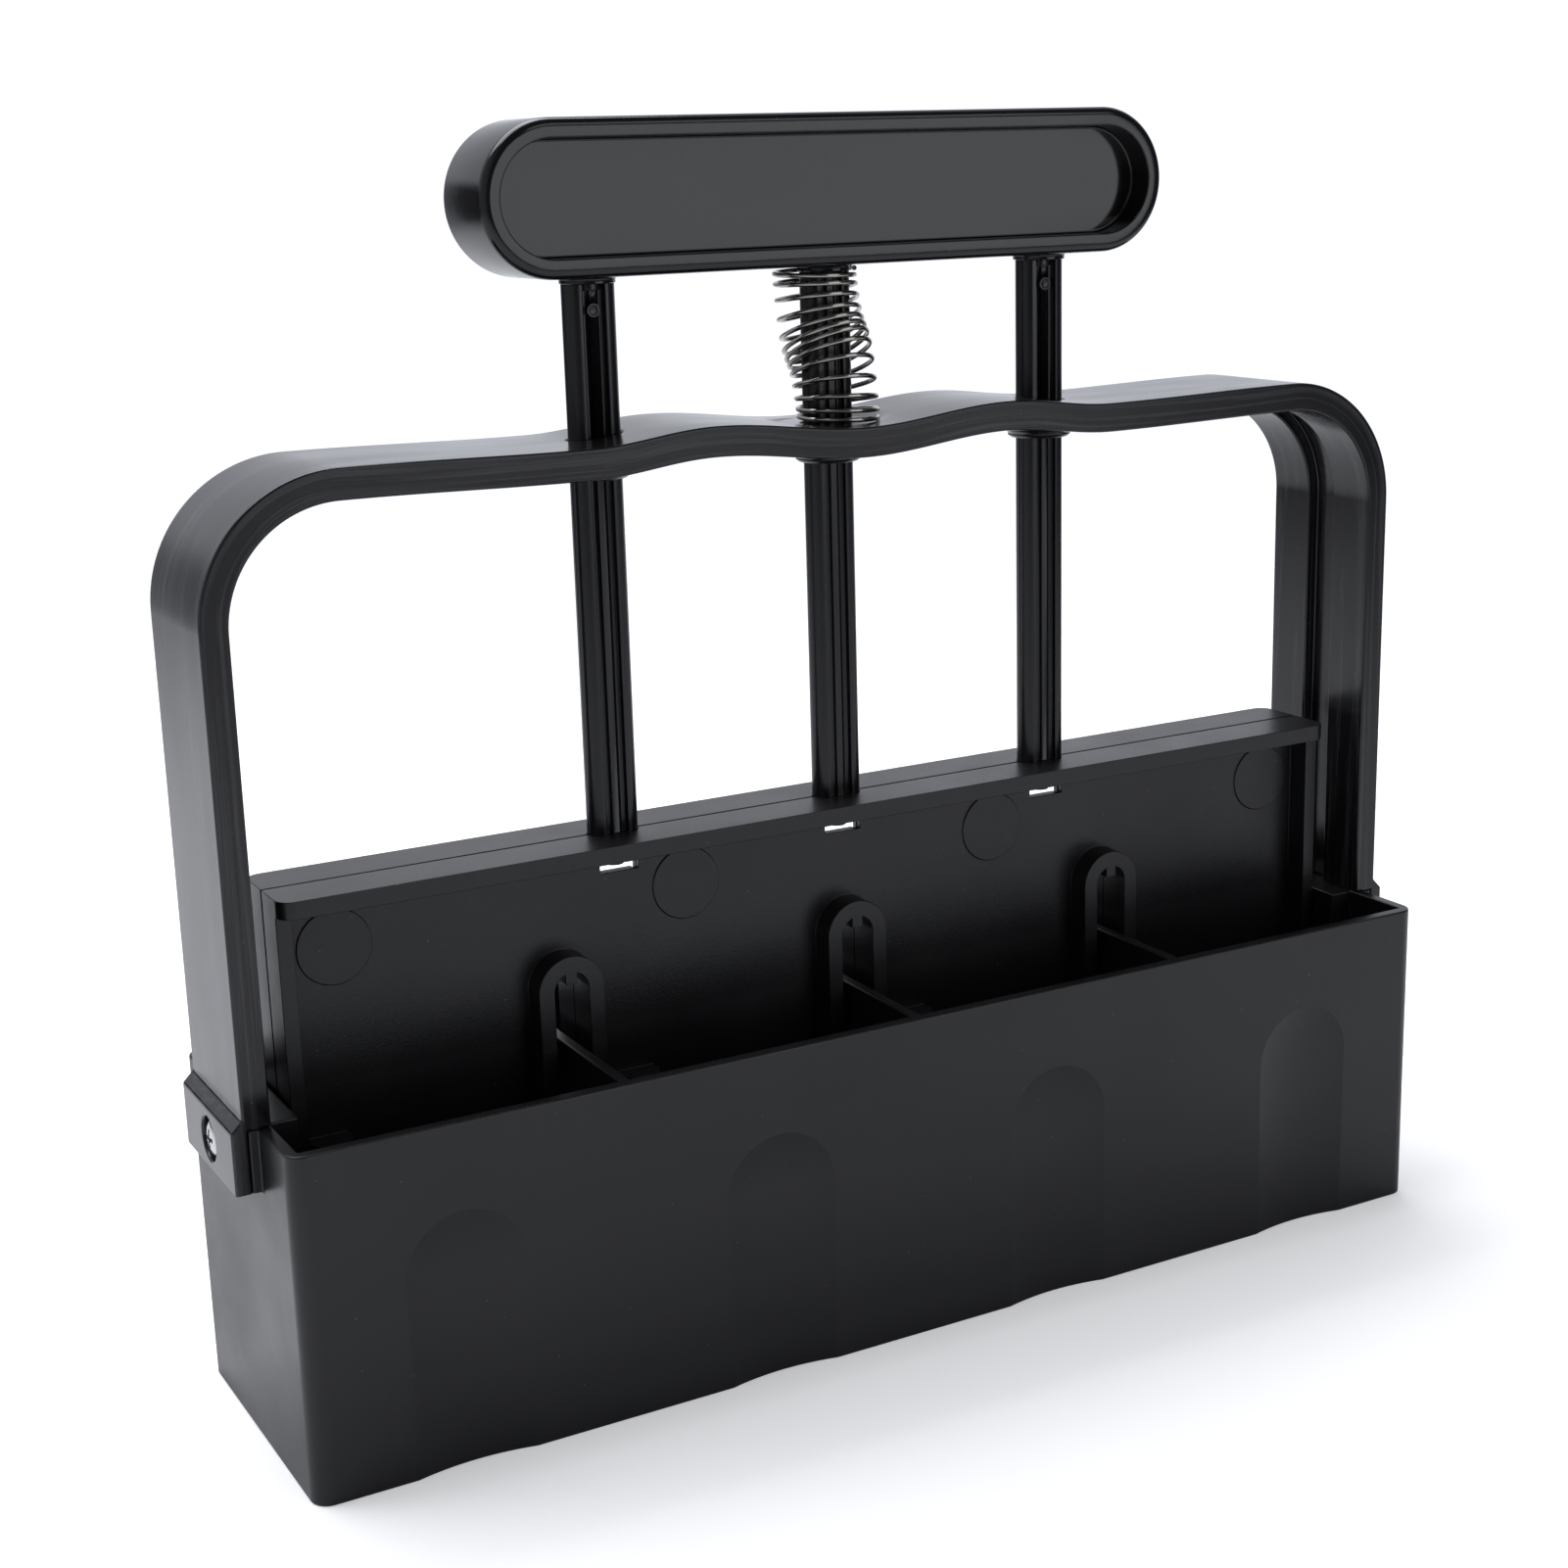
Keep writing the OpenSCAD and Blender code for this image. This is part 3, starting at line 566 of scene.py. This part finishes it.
def metal(name, colour, roughness, sizes, depth):
    """Bright metal, with fine lines along the way it was drawn or turned."""
    material = bpy.data.materials.new(name)
    material.use_nodes = True
    tree = material.node_tree
    shader = tree.nodes["Principled BSDF"]
    shader.inputs["Metallic"].default_value = 1.0
    shader.inputs["Base Color"].default_value = linear(colour)
    where = add(tree, "ShaderNodeTexCoord").outputs["Object"]
    stretched = add(tree, "ShaderNodeMapping", {
        "Vector": where, "Scale": [per_mm(size) for size in sizes]})
    lines = add(tree, "ShaderNodeTexNoise", {
        "Vector": stretched.outputs[0], "Scale": 1.0, "Detail": 3.0})
    rough = add(tree, "ShaderNodeMapRange", {
        "Value": lines.outputs["Fac"], "To Min": roughness * 0.6, "To Max": roughness * 1.5})
    tree.links.new(rough.outputs[0], shader.inputs["Roughness"])
    bump = add(tree, "ShaderNodeBump", {
        "Height": lines.outputs["Fac"], "Strength": 1.0, "Distance": depth * MM})
    tree.links.new(bump.outputs[0], shader.inputs["Normal"])
    return material


def spring_steel():
    """Drawn steel wire: small hard glints on each turn, warm grey between them."""
    return metal("drawn_spring_wire", "#96938d", 0.14, (0.6, 0.6, 0.2), 0.002)


def plated_steel():
    """Zinc-plated steel: bright and slightly cloudy."""
    return metal("zinc_plated_steel", "#c6c7c8", 0.26, (0.5, 0.5, 0.5), 0.003)


# ---------------------------------------------------------------- mould box


def arch_tool(x, face):
    """A tall drum with a ball on top, which leaves a shallow arch in a long face."""
    rings = [(ARCH_R, -OVER), (ARCH_R, ARCH_BALL_Z)]
    for i in range(1, 61):
        a = math.radians(90 * i / 60)
        rings.append((ARCH_R * math.cos(a), ARCH_BALL_Z + ARCH_R * math.sin(a)))
    depth = BOX_D / 2 + ARCH_R - ARCH_DEPTH
    return lathe(rings, 240, (x, face * depth, 0))


def make_mould_box(material):
    outline = rounded_rectangle(BOX_L, BOX_D, BOX_CORNER_R)
    box = skin("mould_box", [[(x, y, z) for x, y in outline] for z in (0, BOX_H)])
    for i in range(CELLS):
        x = (i - (CELLS - 1) / 2) * CELL_PITCH
        cut(box, block((x - CELL_L / 2, -CELL_D / 2, -OVER),
                       (x + CELL_L / 2, CELL_D / 2, BOX_H + OVER)))
        arch_x = ARCH_END - BOX_L / 2 + i * (BOX_L - 2 * ARCH_END) / (CELLS - 1)
        cut(box, arch_tool(arch_x, -1))
        cut(box, arch_tool(arch_x, 1))
    along = Matrix.Rotation(math.radians(90), 4, "Y")
    for side in (-1, 1):
        outer = sorted((side * (BOX_L / 2 - WALL / 2), side * BOSS_OUT))
        join(box, block((outer[0], -FRAME_D / 2, FOOT_Z), (outer[1], FRAME_D / 2, BOX_H)))
        inner = sorted((side * (BOX_L / 2 - WALL / 2), side * NUT_BOSS_IN))
        join(box, block((inner[0], -NUT_BOSS_W / 2, NUT_BOSS_LOW),
                        (inner[1], NUT_BOSS_W / 2, BOX_H)))
        turn = along if side > 0 else Matrix.Rotation(math.radians(-90), 4, "Y")
        cut(box, drum(SCREW_HOLE_R, NUT_BOSS_IN - OVER, FOOT_OUT, (0, 0, SCREW_Z), turn, 32))
        pocket_r = NUT_FLATS / math.sqrt(3) + SCREW_GAP
        cut(box, drum(pocket_r, NUT_BOSS_IN - OVER, NUT_BOSS_IN + NUT_POCKET,
                      (0, 0, SCREW_Z), turn, 6))
    soften(box, BOX_EDGE, angle=30, crease=6)
    place(box, "mould_box_shell", material, "box", "box_plastic", "mould_box")


# ---------------------------------------------------------------- frame


def wave(x):
    """Height of the grip bar above its straight ends."""
    x = abs(x)
    for (x0, z0), (x1, z1) in zip(WAVE, WAVE[1:]):
        if x <= x1:
            return z0 + (z1 - z0) * (1 - math.cos(math.pi * (x - x0) / (x1 - x0))) / 2
    return 0.0


def arc(cx, cz, r, first, last, step=2.5):
    n = round(abs(last - first) / step)
    angles = [math.radians(first + (last - first) * i / n) for i in range(n + 1)]
    return [(cx + r * math.cos(a), cz + r * math.sin(a)) for a in angles]


def bar_line(z, steps=56):
    """The bar's upper or lower line, from the right corner to the middle."""
    return [(CORNER_X * (1 - i / steps), z + wave(CORNER_X * (1 - i / steps)))
            for i in range(1, steps + 1)]


def slab(name, outline, depth):
    """An outline in the XZ plane, as deep as given about Y = 0."""
    return skin(name, [[(x, y, z) for x, z in outline] for y in (-depth / 2, depth / 2)])


def frame_outline():
    outer = [(BOSS_OUT, BOX_H), (BOSS_OUT, FOOT_Z), (FOOT_OUT, FOOT_Z), (FOOT_OUT, BOX_H),
             (LEG_OUT, BOX_H + FOOT_OUT - LEG_OUT)]
    outer += arc(CORNER_X, BAR_TOP - CORNER_R, CORNER_R, 0, 90) + bar_line(BAR_TOP)
    inner = [(LEG_IN, BOX_H)] + arc(CORNER_X, INNER_Z, INNER_R, 0, 90) + bar_line(BAR_TOP - BAR_T)
    mirrored = [(-x, z) for x, z in outer[:-1]]
    mirrored_inner = [(-x, z) for x, z in inner]
    return outer + mirrored[::-1] + mirrored_inner + inner[-2::-1]


def groove_outline(side):
    line = [(LEG_IN + GROOVE_DEPTH, BOX_H - OVER)]
    line += arc(CORNER_X, INNER_Z, INNER_R + GROOVE_DEPTH, 0, 90)
    line += arc(CORNER_X, INNER_Z, INNER_R - OVER, 90, 0)
    line += [(LEG_IN - OVER, BOX_H - OVER)]
    return [(side * x, z) for x, z in line]


def flare(r, out, top, height, steps=8):
    """A concave fillet that widens a round boss to meet a face above it: (radius, height)."""
    turns = [math.pi / 2 * i / steps for i in range(steps + 1)]
    return [(r + out * (1 - math.cos(a)), top - height * (1 - math.sin(a))) for a in turns]


def rod_bar(low, high, gap=0.0, x=0.0):
    """An upright bar of a rod's outline, grown by a gap where it cuts its hole."""
    deep = ROD_D + 2 * gap
    outline = rounded_rectangle(ROD_W + 2 * gap, deep, deep / 2)
    return skin("rod_bar", [[(x + u, v, z) for u, v in outline] for z in (low, high)])


def make_frame(material):
    body = slab("frame", frame_outline(), FRAME_D)
    for x in ROD_X:
        low = BAR_TOP - BAR_T + wave(x) - GUIDE_BOSS_H
        boss = [(GUIDE_BOSS_R - BOSS_CHAMFER, low), (GUIDE_BOSS_R, low + BOSS_CHAMFER)]
        boss += flare(GUIDE_BOSS_R, GUIDE_FLARE, low + GUIDE_BOSS_H,
                      GUIDE_BOSS_H - BOSS_STRAIGHT)
        boss += [(GUIDE_BOSS_R + GUIDE_FLARE, low + GUIDE_BOSS_H + BAR_T / 3)]
        join(body, lathe(boss, 72, (x, 0, 0)))
    seat = [(SPRING_SEAT_R, SPRING_SEAT_Z), (SEAT_RAMP_R, SPRING_SEAT_Z + SEAT_RAMP_H),
            (SEAT_RAMP_R + OVER, BAR_TOP + 2 * OVER)]
    cut(body, lathe(seat, 96))
    for x in ROD_X:
        cut(body, rod_bar(BAR_TOP - 3 * BAR_T, BAR_TOP + BAR_T, GUIDE_GAP, x))
    for side in (-1, 1):
        cut(body, slab("groove", groove_outline(side), GROOVE_W))
        turn = Matrix.Rotation(math.radians(90 * side), 4, "Y")
        cut(body, drum(SCREW_HOLE_R, BOX_L / 2, FOOT_OUT + OVER, (0, 0, SCREW_Z), turn, 32))
        cut(body, drum(HEAD_R + HEAD_GAP, SCREW_SEAT, FOOT_OUT + OVER, (0, 0, SCREW_Z), turn, 64))
    soften(body, FRAME_EDGE, angle=25)
    place(body, "frame_moulding", material, "box", "frame_plastic", "frame")


# ---------------------------------------------------------------- rods and handle


def flute_tool(face):
    """Cuts the two flutes and the lowered ridge between them from one broad face."""
    line = []
    ridge = math.asin((FLUTE_AXIS_Y - RIDGE_Y) / FLUTE_R)
    for i in range(15):
        a = (math.pi - ridge) * i / 14
        line.append((FLUTE_X + FLUTE_R * math.cos(a), FLUTE_R * math.sin(a) - FLUTE_AXIS_Y))
    line = [(FLUTE_X + FLUTE_R, -ROD_D)] + line
    line += [(-x, y) for x, y in reversed(line)]
    return skin("flutes", [[(x, face * y, z) for x, y in line] for z in (LIP_TOP, ROD_TOP + OVER)])


def make_rods(material):
    """The rods, alike but for the mould's small round stud near the top of the outer two."""
    rod = rod_bar(ROD_LOW, ROD_TOP)
    for face in (-1, 1):
        cut(rod, flute_tool(face))
    join(rod, drum(TENON_R, ROD_TOP - OVER, ROD_TOP + TENON_L, sides=48))
    join(rod, drum(TONGUE_R, ROD_LOW - TONGUE_L, ROD_LOW + OVER, sides=48))
    for side in (-1, 1):
        low = ROD_LOW - PRONG_L
        for reach, top in ((PRONG_T, ROD_LOW + OVER), (PRONG_T + BARB_OUT, low + BARB_H)):
            near, far = sorted((side * PRONG_IN, side * (PRONG_IN + reach)))
            join(rod, block((near, -PRONG_D / 2, low), (far, PRONG_D / 2, top)))
    soften(rod, ROD_EDGE, angle=32)
    profile = [(STUD_R, -OVER), (STUD_R, STUD_STAND - 0.08), (STUD_R - 0.08, STUD_STAND),
               (STUD_DISH_R, STUD_STAND), (STUD_DISH_R - 0.12, STUD_STAND - 0.14),
               (STUD_DISH_R / 2, STUD_STAND - 0.2), (0, STUD_STAND - 0.21)]
    for name, x in zip(("rod_left", "rod_centre", "rod_right"), ROD_X):
        one = bpy.data.objects.new(name, rod.data.copy())
        bpy.context.scene.collection.objects.link(one)
        if x:
            stud = lathe(profile, 40, (0, -RIDGE_Y, ROD_TOP - STUD_DROP),
                         Matrix.Rotation(math.radians(90), 4, "X"))
            join(one, smooth(stud))
        one.data.transform(Matrix.Translation((x, 0, 0)))
        place(one, name + "_moulding", material, "plunger", "rod_plastic", name)
    bpy.data.objects.remove(rod)


def stadium_loop(inset, y):
    """The handle's outline, drawn in by an inset, at a depth."""
    r = HANDLE_H / 2 - inset
    half = (HANDLE_L - HANDLE_H) / 2
    middle = HANDLE_LOW + HANDLE_H / 2
    loop = []
    for side, first in ((1, -90), (-1, 90)):
        for i in range(49):
            a = math.radians(first + 180 * i / 48)
            loop.append((side * half + r * math.cos(a), y, middle + r * math.sin(a)))
    return loop


def corner(u, v, r, first, last, steps):
    """Points of a small arc in a section."""
    angles = [math.radians(first + (last - first) * i / steps) for i in range(steps + 1)]
    return [(u + r * math.cos(a), v + r * math.sin(a)) for a in angles]


def handle_section():
    """From the handle's side over the rounded rim and down into the recess: (inset, depth)."""
    wall_foot = RIM + RIM_INNER_R + WALL_DRAFT
    points = corner(RIM_OUTER_R, RIM_OUTER_R, RIM_OUTER_R, 180, 270, 10)
    points += corner(RIM, RIM_INNER_R, RIM_INNER_R, 270, 360, 6)
    points += corner(wall_foot + FLOOR_R, RECESS_DEPTH - FLOOR_R, FLOOR_R, 180, 90, 10)
    return points


def make_handle(material):
    section = handle_section()
    front = [stadium_loop(u, v - HANDLE_D / 2) for u, v in section]
    rear = [stadium_loop(u, HANDLE_D / 2 - v) for u, v in section]
    handle = skin("handle", front[::-1] + rear)
    for x in ROD_X:
        profile = [(COLLAR_R - COLLAR_CHAMFER, ROD_TOP), (COLLAR_R, ROD_TOP + COLLAR_CHAMFER)]
        profile += flare(COLLAR_R, COLLAR_FLARE, HANDLE_LOW + COLLAR_SINK, COLLAR_FLARE_H)
        profile += [(COLLAR_R + COLLAR_FLARE, HANDLE_LOW + OVER)]
        join(handle, lathe(profile, 72, (x, 0, 0)))
        cut(handle, drum(TENON_R + TENON_GAP, ROD_TOP - OVER,
                         ROD_TOP + TENON_L + 2 * TENON_GAP, (x, 0, 0), sides=48))
    smooth(recalculated(handle, 1e-3), 40)
    place(handle, "handle_moulding", material, "plunger", "handle_plastic", "handle")


# ---------------------------------------------------------------- plunger


def dress_half(half, face):
    """Trims a half shell's lip and seam, opens its windows under the rods, a narrow one in the
    front half and a wider one behind it, and turns its ejector marks into low raised discs."""
    def cut_box(x0, x1, y0, y1, z0, z1):
        low, high = sorted((face * y0, face * y1))
        cut(half, block((x0, low, z0), (x1, high, z1)))

    for x in ROD_X:
        low, high = sorted((face * (ROD_D / 2 + ROD_GAP), face * LIP_D))
        reach = WINDOW_W / 2 + OVER
        join(half, block((x - reach, low, LIP_LOW), (x + reach, high, LIP_LOW + OVER)))
        width, sill = (WINDOW_W, WINDOW_LOW) if face < 0 else (REAR_WINDOW_W, REAR_WINDOW_LOW)
        cut_box(x - width / 2, x + width / 2, -OVER, WEB_Y + OVER, sill, LIP_LOW)
        for side in (-1, 1):
            near, far = sorted((x + side * (PRONG_IN - PRONG_GAP),
                                x + side * (PRONG_IN + PRONG_T + PRONG_GAP)))
            cut_box(near, far, -OVER, PRONG_D / 2 + PRONG_GAP, ROD_LOW - PRONG_L, ROD_LOW)
    for x in MARK_X:
        reach = MARK_CAD_R + MARK_MARGIN
        low, high = sorted((face * (WEB_Y - MARK_FILL), face * WEB_Y))
        join(half, block((x - reach, low, MARK_Z - reach), (x + reach, high, MARK_Z + reach)))
        join(half, drum(MARK_R, MARK_ROOT, WEB_Y + MARK_STAND, (x, 0, MARK_Z),
                        Matrix.Rotation(math.radians(-90 * face), 4, "X"), 96))
    end = PLUNGER_L / 2
    cut_box(-end - OVER, end + OVER, RIB_Y, LIP_D + OVER, CAD_LIP_LOW - OVER, LIP_LOW)
    cut_box(RIB_T - end, end - RIB_T, WEB_Y, RIB_Y + JUST_OVER, CAD_LIP_LOW - JUST_OVER,
            LIP_LOW)
    cut_box(-end - OVER, end + OVER, -OVER, SEAM_GROOVE, LIP_TOP - SEAM_DEEP, LIP_TOP + OVER)
    for side in (-1, 1):
        near, far = sorted((side * (end - SEAM_DEEP), side * (end + OVER)))
        cut_box(near, far, -OVER, SEAM_GROOVE, 0, LIP_TOP)
    return half


def make_plunger(shell_material, plate_material):
    for name, face in (("plunger_front", -1), ("plunger_rear", 1)):
        half = soften(dress_half(copy_of(name), face), SHELL_EDGE, angle=30, steps=2)
        place(half, name + "_shell", shell_material, "plunger", "plunger_plastic", name)
    for i in range(CELLS):
        plate = soften(copy_of("press_plate_%d" % (i + 1)), PLATE_EDGE, angle=30, steps=2)
        place(plate, "plate_%d" % (i + 1), plate_material, "plunger", "plate_plastic",
              "press_plate_%d" % (i + 1))
        pin = smooth(copy_of("seed_pin_%d" % (i + 1)), 40)
        place(pin, "pin_%d" % (i + 1), plate_material, "plunger", "plate_plastic",
              "seed_pin_%d" % (i + 1))


# ---------------------------------------------------------------- repeated and wound pieces


def new_tree(name, inputs):
    """A Geometry Nodes tree with named inputs, given as name: (socket type, value)."""
    tree = bpy.data.node_groups.new(name, "GeometryNodeTree")
    tree.interface.new_socket("Geometry", in_out="OUTPUT", socket_type="NodeSocketGeometry")
    for label, (kind, value) in inputs.items():
        socket = tree.interface.new_socket(label, in_out="INPUT", socket_type=kind)
        if value is not None:
            socket.default_value = value
    return tree, add(tree, "NodeGroupInput").outputs


def made_by(tree, name, values):
    """A plain mesh made by a tree, with some of its inputs set."""
    piece = mesh_object(name, [], [])
    step = piece.modifiers.new("make", "NODES")
    step.node_group = tree
    for item in tree.interface.items_tree:
        if item.in_out == "INPUT" and item.name in values:
            step[item.identifier] = values[item.name]
    return applied(piece)


def spring_tree():
    """A helix that is closer at its ends and middle, leans along its length and tilts midway."""
    sizes = {"Wire": WIRE, "Coil Radius": COIL_R, "Coils": COILS, "Low": SPRING_LOW,
             "High": SPRING_HIGH, "Lean Low": LEAN_LOW, "Lean High": LEAN_HIGH,
             "Lean Turn": math.radians(LEAN_TURN), "Tilt": COIL_TILT, "Nod": COIL_NOD,
             "Pitch Swing": PITCH_SWING}
    inputs = {name: ("NodeSocketFloat", float(value)) for name, value in sizes.items()}
    inputs["Material"] = ("NodeSocketMaterial", None)
    tree, given = new_tree("wound_spring", inputs)
    height = maths(tree, given["High"], given["Low"], "SUBTRACT")
    helix = add(tree, "GeometryNodeCurveSpiral", {
        "Resolution": 56, "Rotations": given["Coils"], "Start Radius": given["Coil Radius"],
        "End Radius": given["Coil Radius"], "Height": height})
    way = add(tree, "GeometryNodeSplineParameter").outputs["Factor"]
    turn = maths(tree, way, 4 * math.pi, "MULTIPLY")
    half_turn = maths(tree, way, math.pi, "MULTIPLY")
    # lean = low - (low + high) * (1 - cos(half_turn)) / 2
    cosine = add(tree, "ShaderNodeMath", {0: half_turn}, operation="COSINE").outputs[0]
    eased = maths(tree, maths(tree, 1.0, cosine, "SUBTRACT"), 0.5, "MULTIPLY")
    both = maths(tree, given["Lean Low"], given["Lean High"])
    lean = maths(tree, given["Lean Low"], maths(tree, both, eased, "MULTIPLY"), "SUBTRACT")
    # tilt = (slope * x - nod * y) * sin(half_turn) squared
    at = add(tree, "ShaderNodeSeparateXYZ", {
        0: add(tree, "GeometryNodeInputPosition").outputs[0]}).outputs
    sine = add(tree, "ShaderNodeMath", {0: half_turn}, operation="SINE").outputs[0]
    aslant = maths(tree, maths(tree, given["Tilt"], at["X"], "MULTIPLY"),
                   maths(tree, given["Nod"], at["Y"], "MULTIPLY"), "SUBTRACT")
    tilt = maths(tree, aslant, maths(tree, sine, sine, "MULTIPLY"), "MULTIPLY")
    # ends = height * swing * sin(turn) / (4 pi), taken off
    wave_up = add(tree, "ShaderNodeMath", {0: turn}, operation="SINE").outputs[0]
    share = maths(tree, maths(tree, given["Pitch Swing"], height, "MULTIPLY"),
                  1 / (4 * math.pi), "MULTIPLY")
    ends = maths(tree, share, wave_up, "MULTIPLY")
    rise = maths(tree, maths(tree, given["Low"], tilt), ends, "SUBTRACT")
    offset = add(tree, "ShaderNodeCombineXYZ", {"X": lean, "Z": rise})
    moved = add(tree, "GeometryNodeSetPosition", {
        "Geometry": helix.outputs[0], "Offset": offset.outputs[0]})
    ring = add(tree, "GeometryNodeCurvePrimitiveCircle", {
        "Resolution": 14, "Radius": maths(tree, given["Wire"], 0.5, "MULTIPLY")}, mode="RADIUS")
    tube = add(tree, "GeometryNodeCurveToMesh", {
        "Curve": moved.outputs[0], "Profile Curve": ring.outputs[0], "Fill Caps": True})
    aside = add(tree, "ShaderNodeCombineXYZ", {"Z": given["Lean Turn"]})
    leant = add(tree, "GeometryNodeTransform", {
        "Geometry": tube.outputs[0], "Rotation": aside.outputs[0]})
    whole = add(tree, "GeometryNodeRealizeInstances", {0: leant.outputs[0]})
    dressed = add(tree, "GeometryNodeSetMaterial", {
        "Geometry": whole.outputs[0], "Material": given["Material"]})
    add(tree, "NodeGroupOutput", {0: dressed.outputs[0]})
    return tree


def make_spring(material):
    spring = smooth(made_by(spring_tree(), "spring", {"Material": material}), 60)
    place(spring, "spring_wire", material, "box", "spring_steel", "spring")
    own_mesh(spring)


def row_tree():
    """Copies one piece along X, each turned a little more about Z than the one before."""
    tree, given = new_tree("row_of_pieces", {
        "Piece": ("NodeSocketObject", None), "Count": ("NodeSocketInt", 1),
        "First X": ("NodeSocketFloat", 0.0), "Pitch": ("NodeSocketFloat", 0.0),
        "Turn": ("NodeSocketFloat", 0.0), "Material": ("NodeSocketMaterial", None)})
    start = add(tree, "ShaderNodeCombineXYZ", {"X": given["First X"]})
    step = add(tree, "ShaderNodeCombineXYZ", {"X": given["Pitch"]})
    line = add(tree, "GeometryNodeMeshLine", {
        "Count": given["Count"], "Start Location": start.outputs[0], "Offset": step.outputs[0]})
    index = add(tree, "GeometryNodeInputIndex").outputs[0]
    angle = maths(tree, index, given["Turn"], "MULTIPLY")
    turned = add(tree, "ShaderNodeCombineXYZ", {"Z": angle})
    piece = add(tree, "GeometryNodeObjectInfo", {"Object": given["Piece"]})
    copies = add(tree, "GeometryNodeInstanceOnPoints", {
        "Points": line.outputs[0], "Instance": piece.outputs["Geometry"],
        "Rotation": turned.outputs[0]})
    whole = add(tree, "GeometryNodeRealizeInstances", {0: copies.outputs[0]})
    dressed = add(tree, "GeometryNodeSetMaterial", {
        "Geometry": whole.outputs[0], "Material": given["Material"]})
    add(tree, "NodeGroupOutput", {0: dressed.outputs[0]})
    return tree


def cross_screw(head_r, shank_r, shank_l, turn, at):
    """A pan-head screw with a cross recess: the head's seat at Z = 0, the shank below it."""
    turns = [math.radians(a) for a in range(90, 0, -10)]
    dome = [(head_r * math.sin(a), HEAD_H - DOME_H * (1 - math.cos(a))) for a in turns]
    profile = [(shank_r - THREAD_DEPTH, -shank_l)]
    for i in range(int((shank_l - PLAIN_SHANK) / THREAD_PITCH)):
        z = -shank_l + THREAD_START + i * THREAD_PITCH
        profile += [(shank_r, z), (shank_r - THREAD_DEPTH, z + THREAD_PITCH / 2)]
    profile += [(shank_r, -NECK), (shank_r, 0), (head_r, 0)] + dome + [(0, HEAD_H)]
    screw = lathe(profile, 40)
    for quarter in (0, 1):
        arm = block((-CROSS_L / 2, -CROSS_W / 2, HEAD_H - CROSS_DEEP),
                    (CROSS_L / 2, CROSS_W / 2, HEAD_H + OVER))
        arm.data.transform(Matrix.Rotation(quarter * math.pi / 2, 4, "Z"))
        cut(screw, arm)
    smooth(screw, 32)
    screw.data.transform(turn)
    screw.data.transform(Matrix.Translation(at))
    return screw


def make_fasteners(material):
    tree = row_tree()
    outwards = Matrix.Rotation(math.radians(90), 4, "Y")
    screw = cross_screw(HEAD_R, SHANK_R, SHANK_L, outwards, (SCREW_SEAT, 0, SCREW_Z))
    pair = made_by(tree, "screws", {
        "Piece": screw, "Count": 2, "Turn": math.pi, "Material": material})
    place(smooth(pair, 32), "frame_screw_pair", material, "box", "plated_steel", "frame_screws")

    nuts = soften(copy_of("frame_nuts"), NUT_EDGE, angle=40, steps=2)
    place(nuts, "frame_nut_pair", material, "box", "plated_steel", "frame_nuts")

    down = Matrix.Rotation(math.pi, 4, "X")
    one = cross_screw(PLATE_HEAD_R, PLATE_SHANK_R, PLATE_SHANK_L, down,
                      (-PLATE_SCREW_X, -PLATE_SCREW_Y, PLATE_SEAT_Z))
    both = made_by(tree, "both", {"Piece": one, "Count": 2, "Turn": math.pi, "Material": material})
    row = made_by(tree, "row", {
        "Piece": both, "Count": CELLS, "First X": (1 - CELLS) / 2 * CELL_PITCH,
        "Pitch": CELL_PITCH, "Material": material})
    place(smooth(row, 32), "plate_screw_row", material, "plunger", "plated_steel", "plate_screws")
    for used in (screw, one, both):
        bpy.data.objects.remove(used)


# ---------------------------------------------------------------- the whole

make_camera()
make_room()
make_mould_box(box_plastic())
make_frame(frame_plastic())
make_plunger(plunger_plastic(), plate_plastic())
make_rods(rod_plastic())
make_handle(handle_plastic())
make_spring(spring_steel())
make_fasteners(plated_steel())
bpy.context.scene.view_settings.view_transform = "Standard"
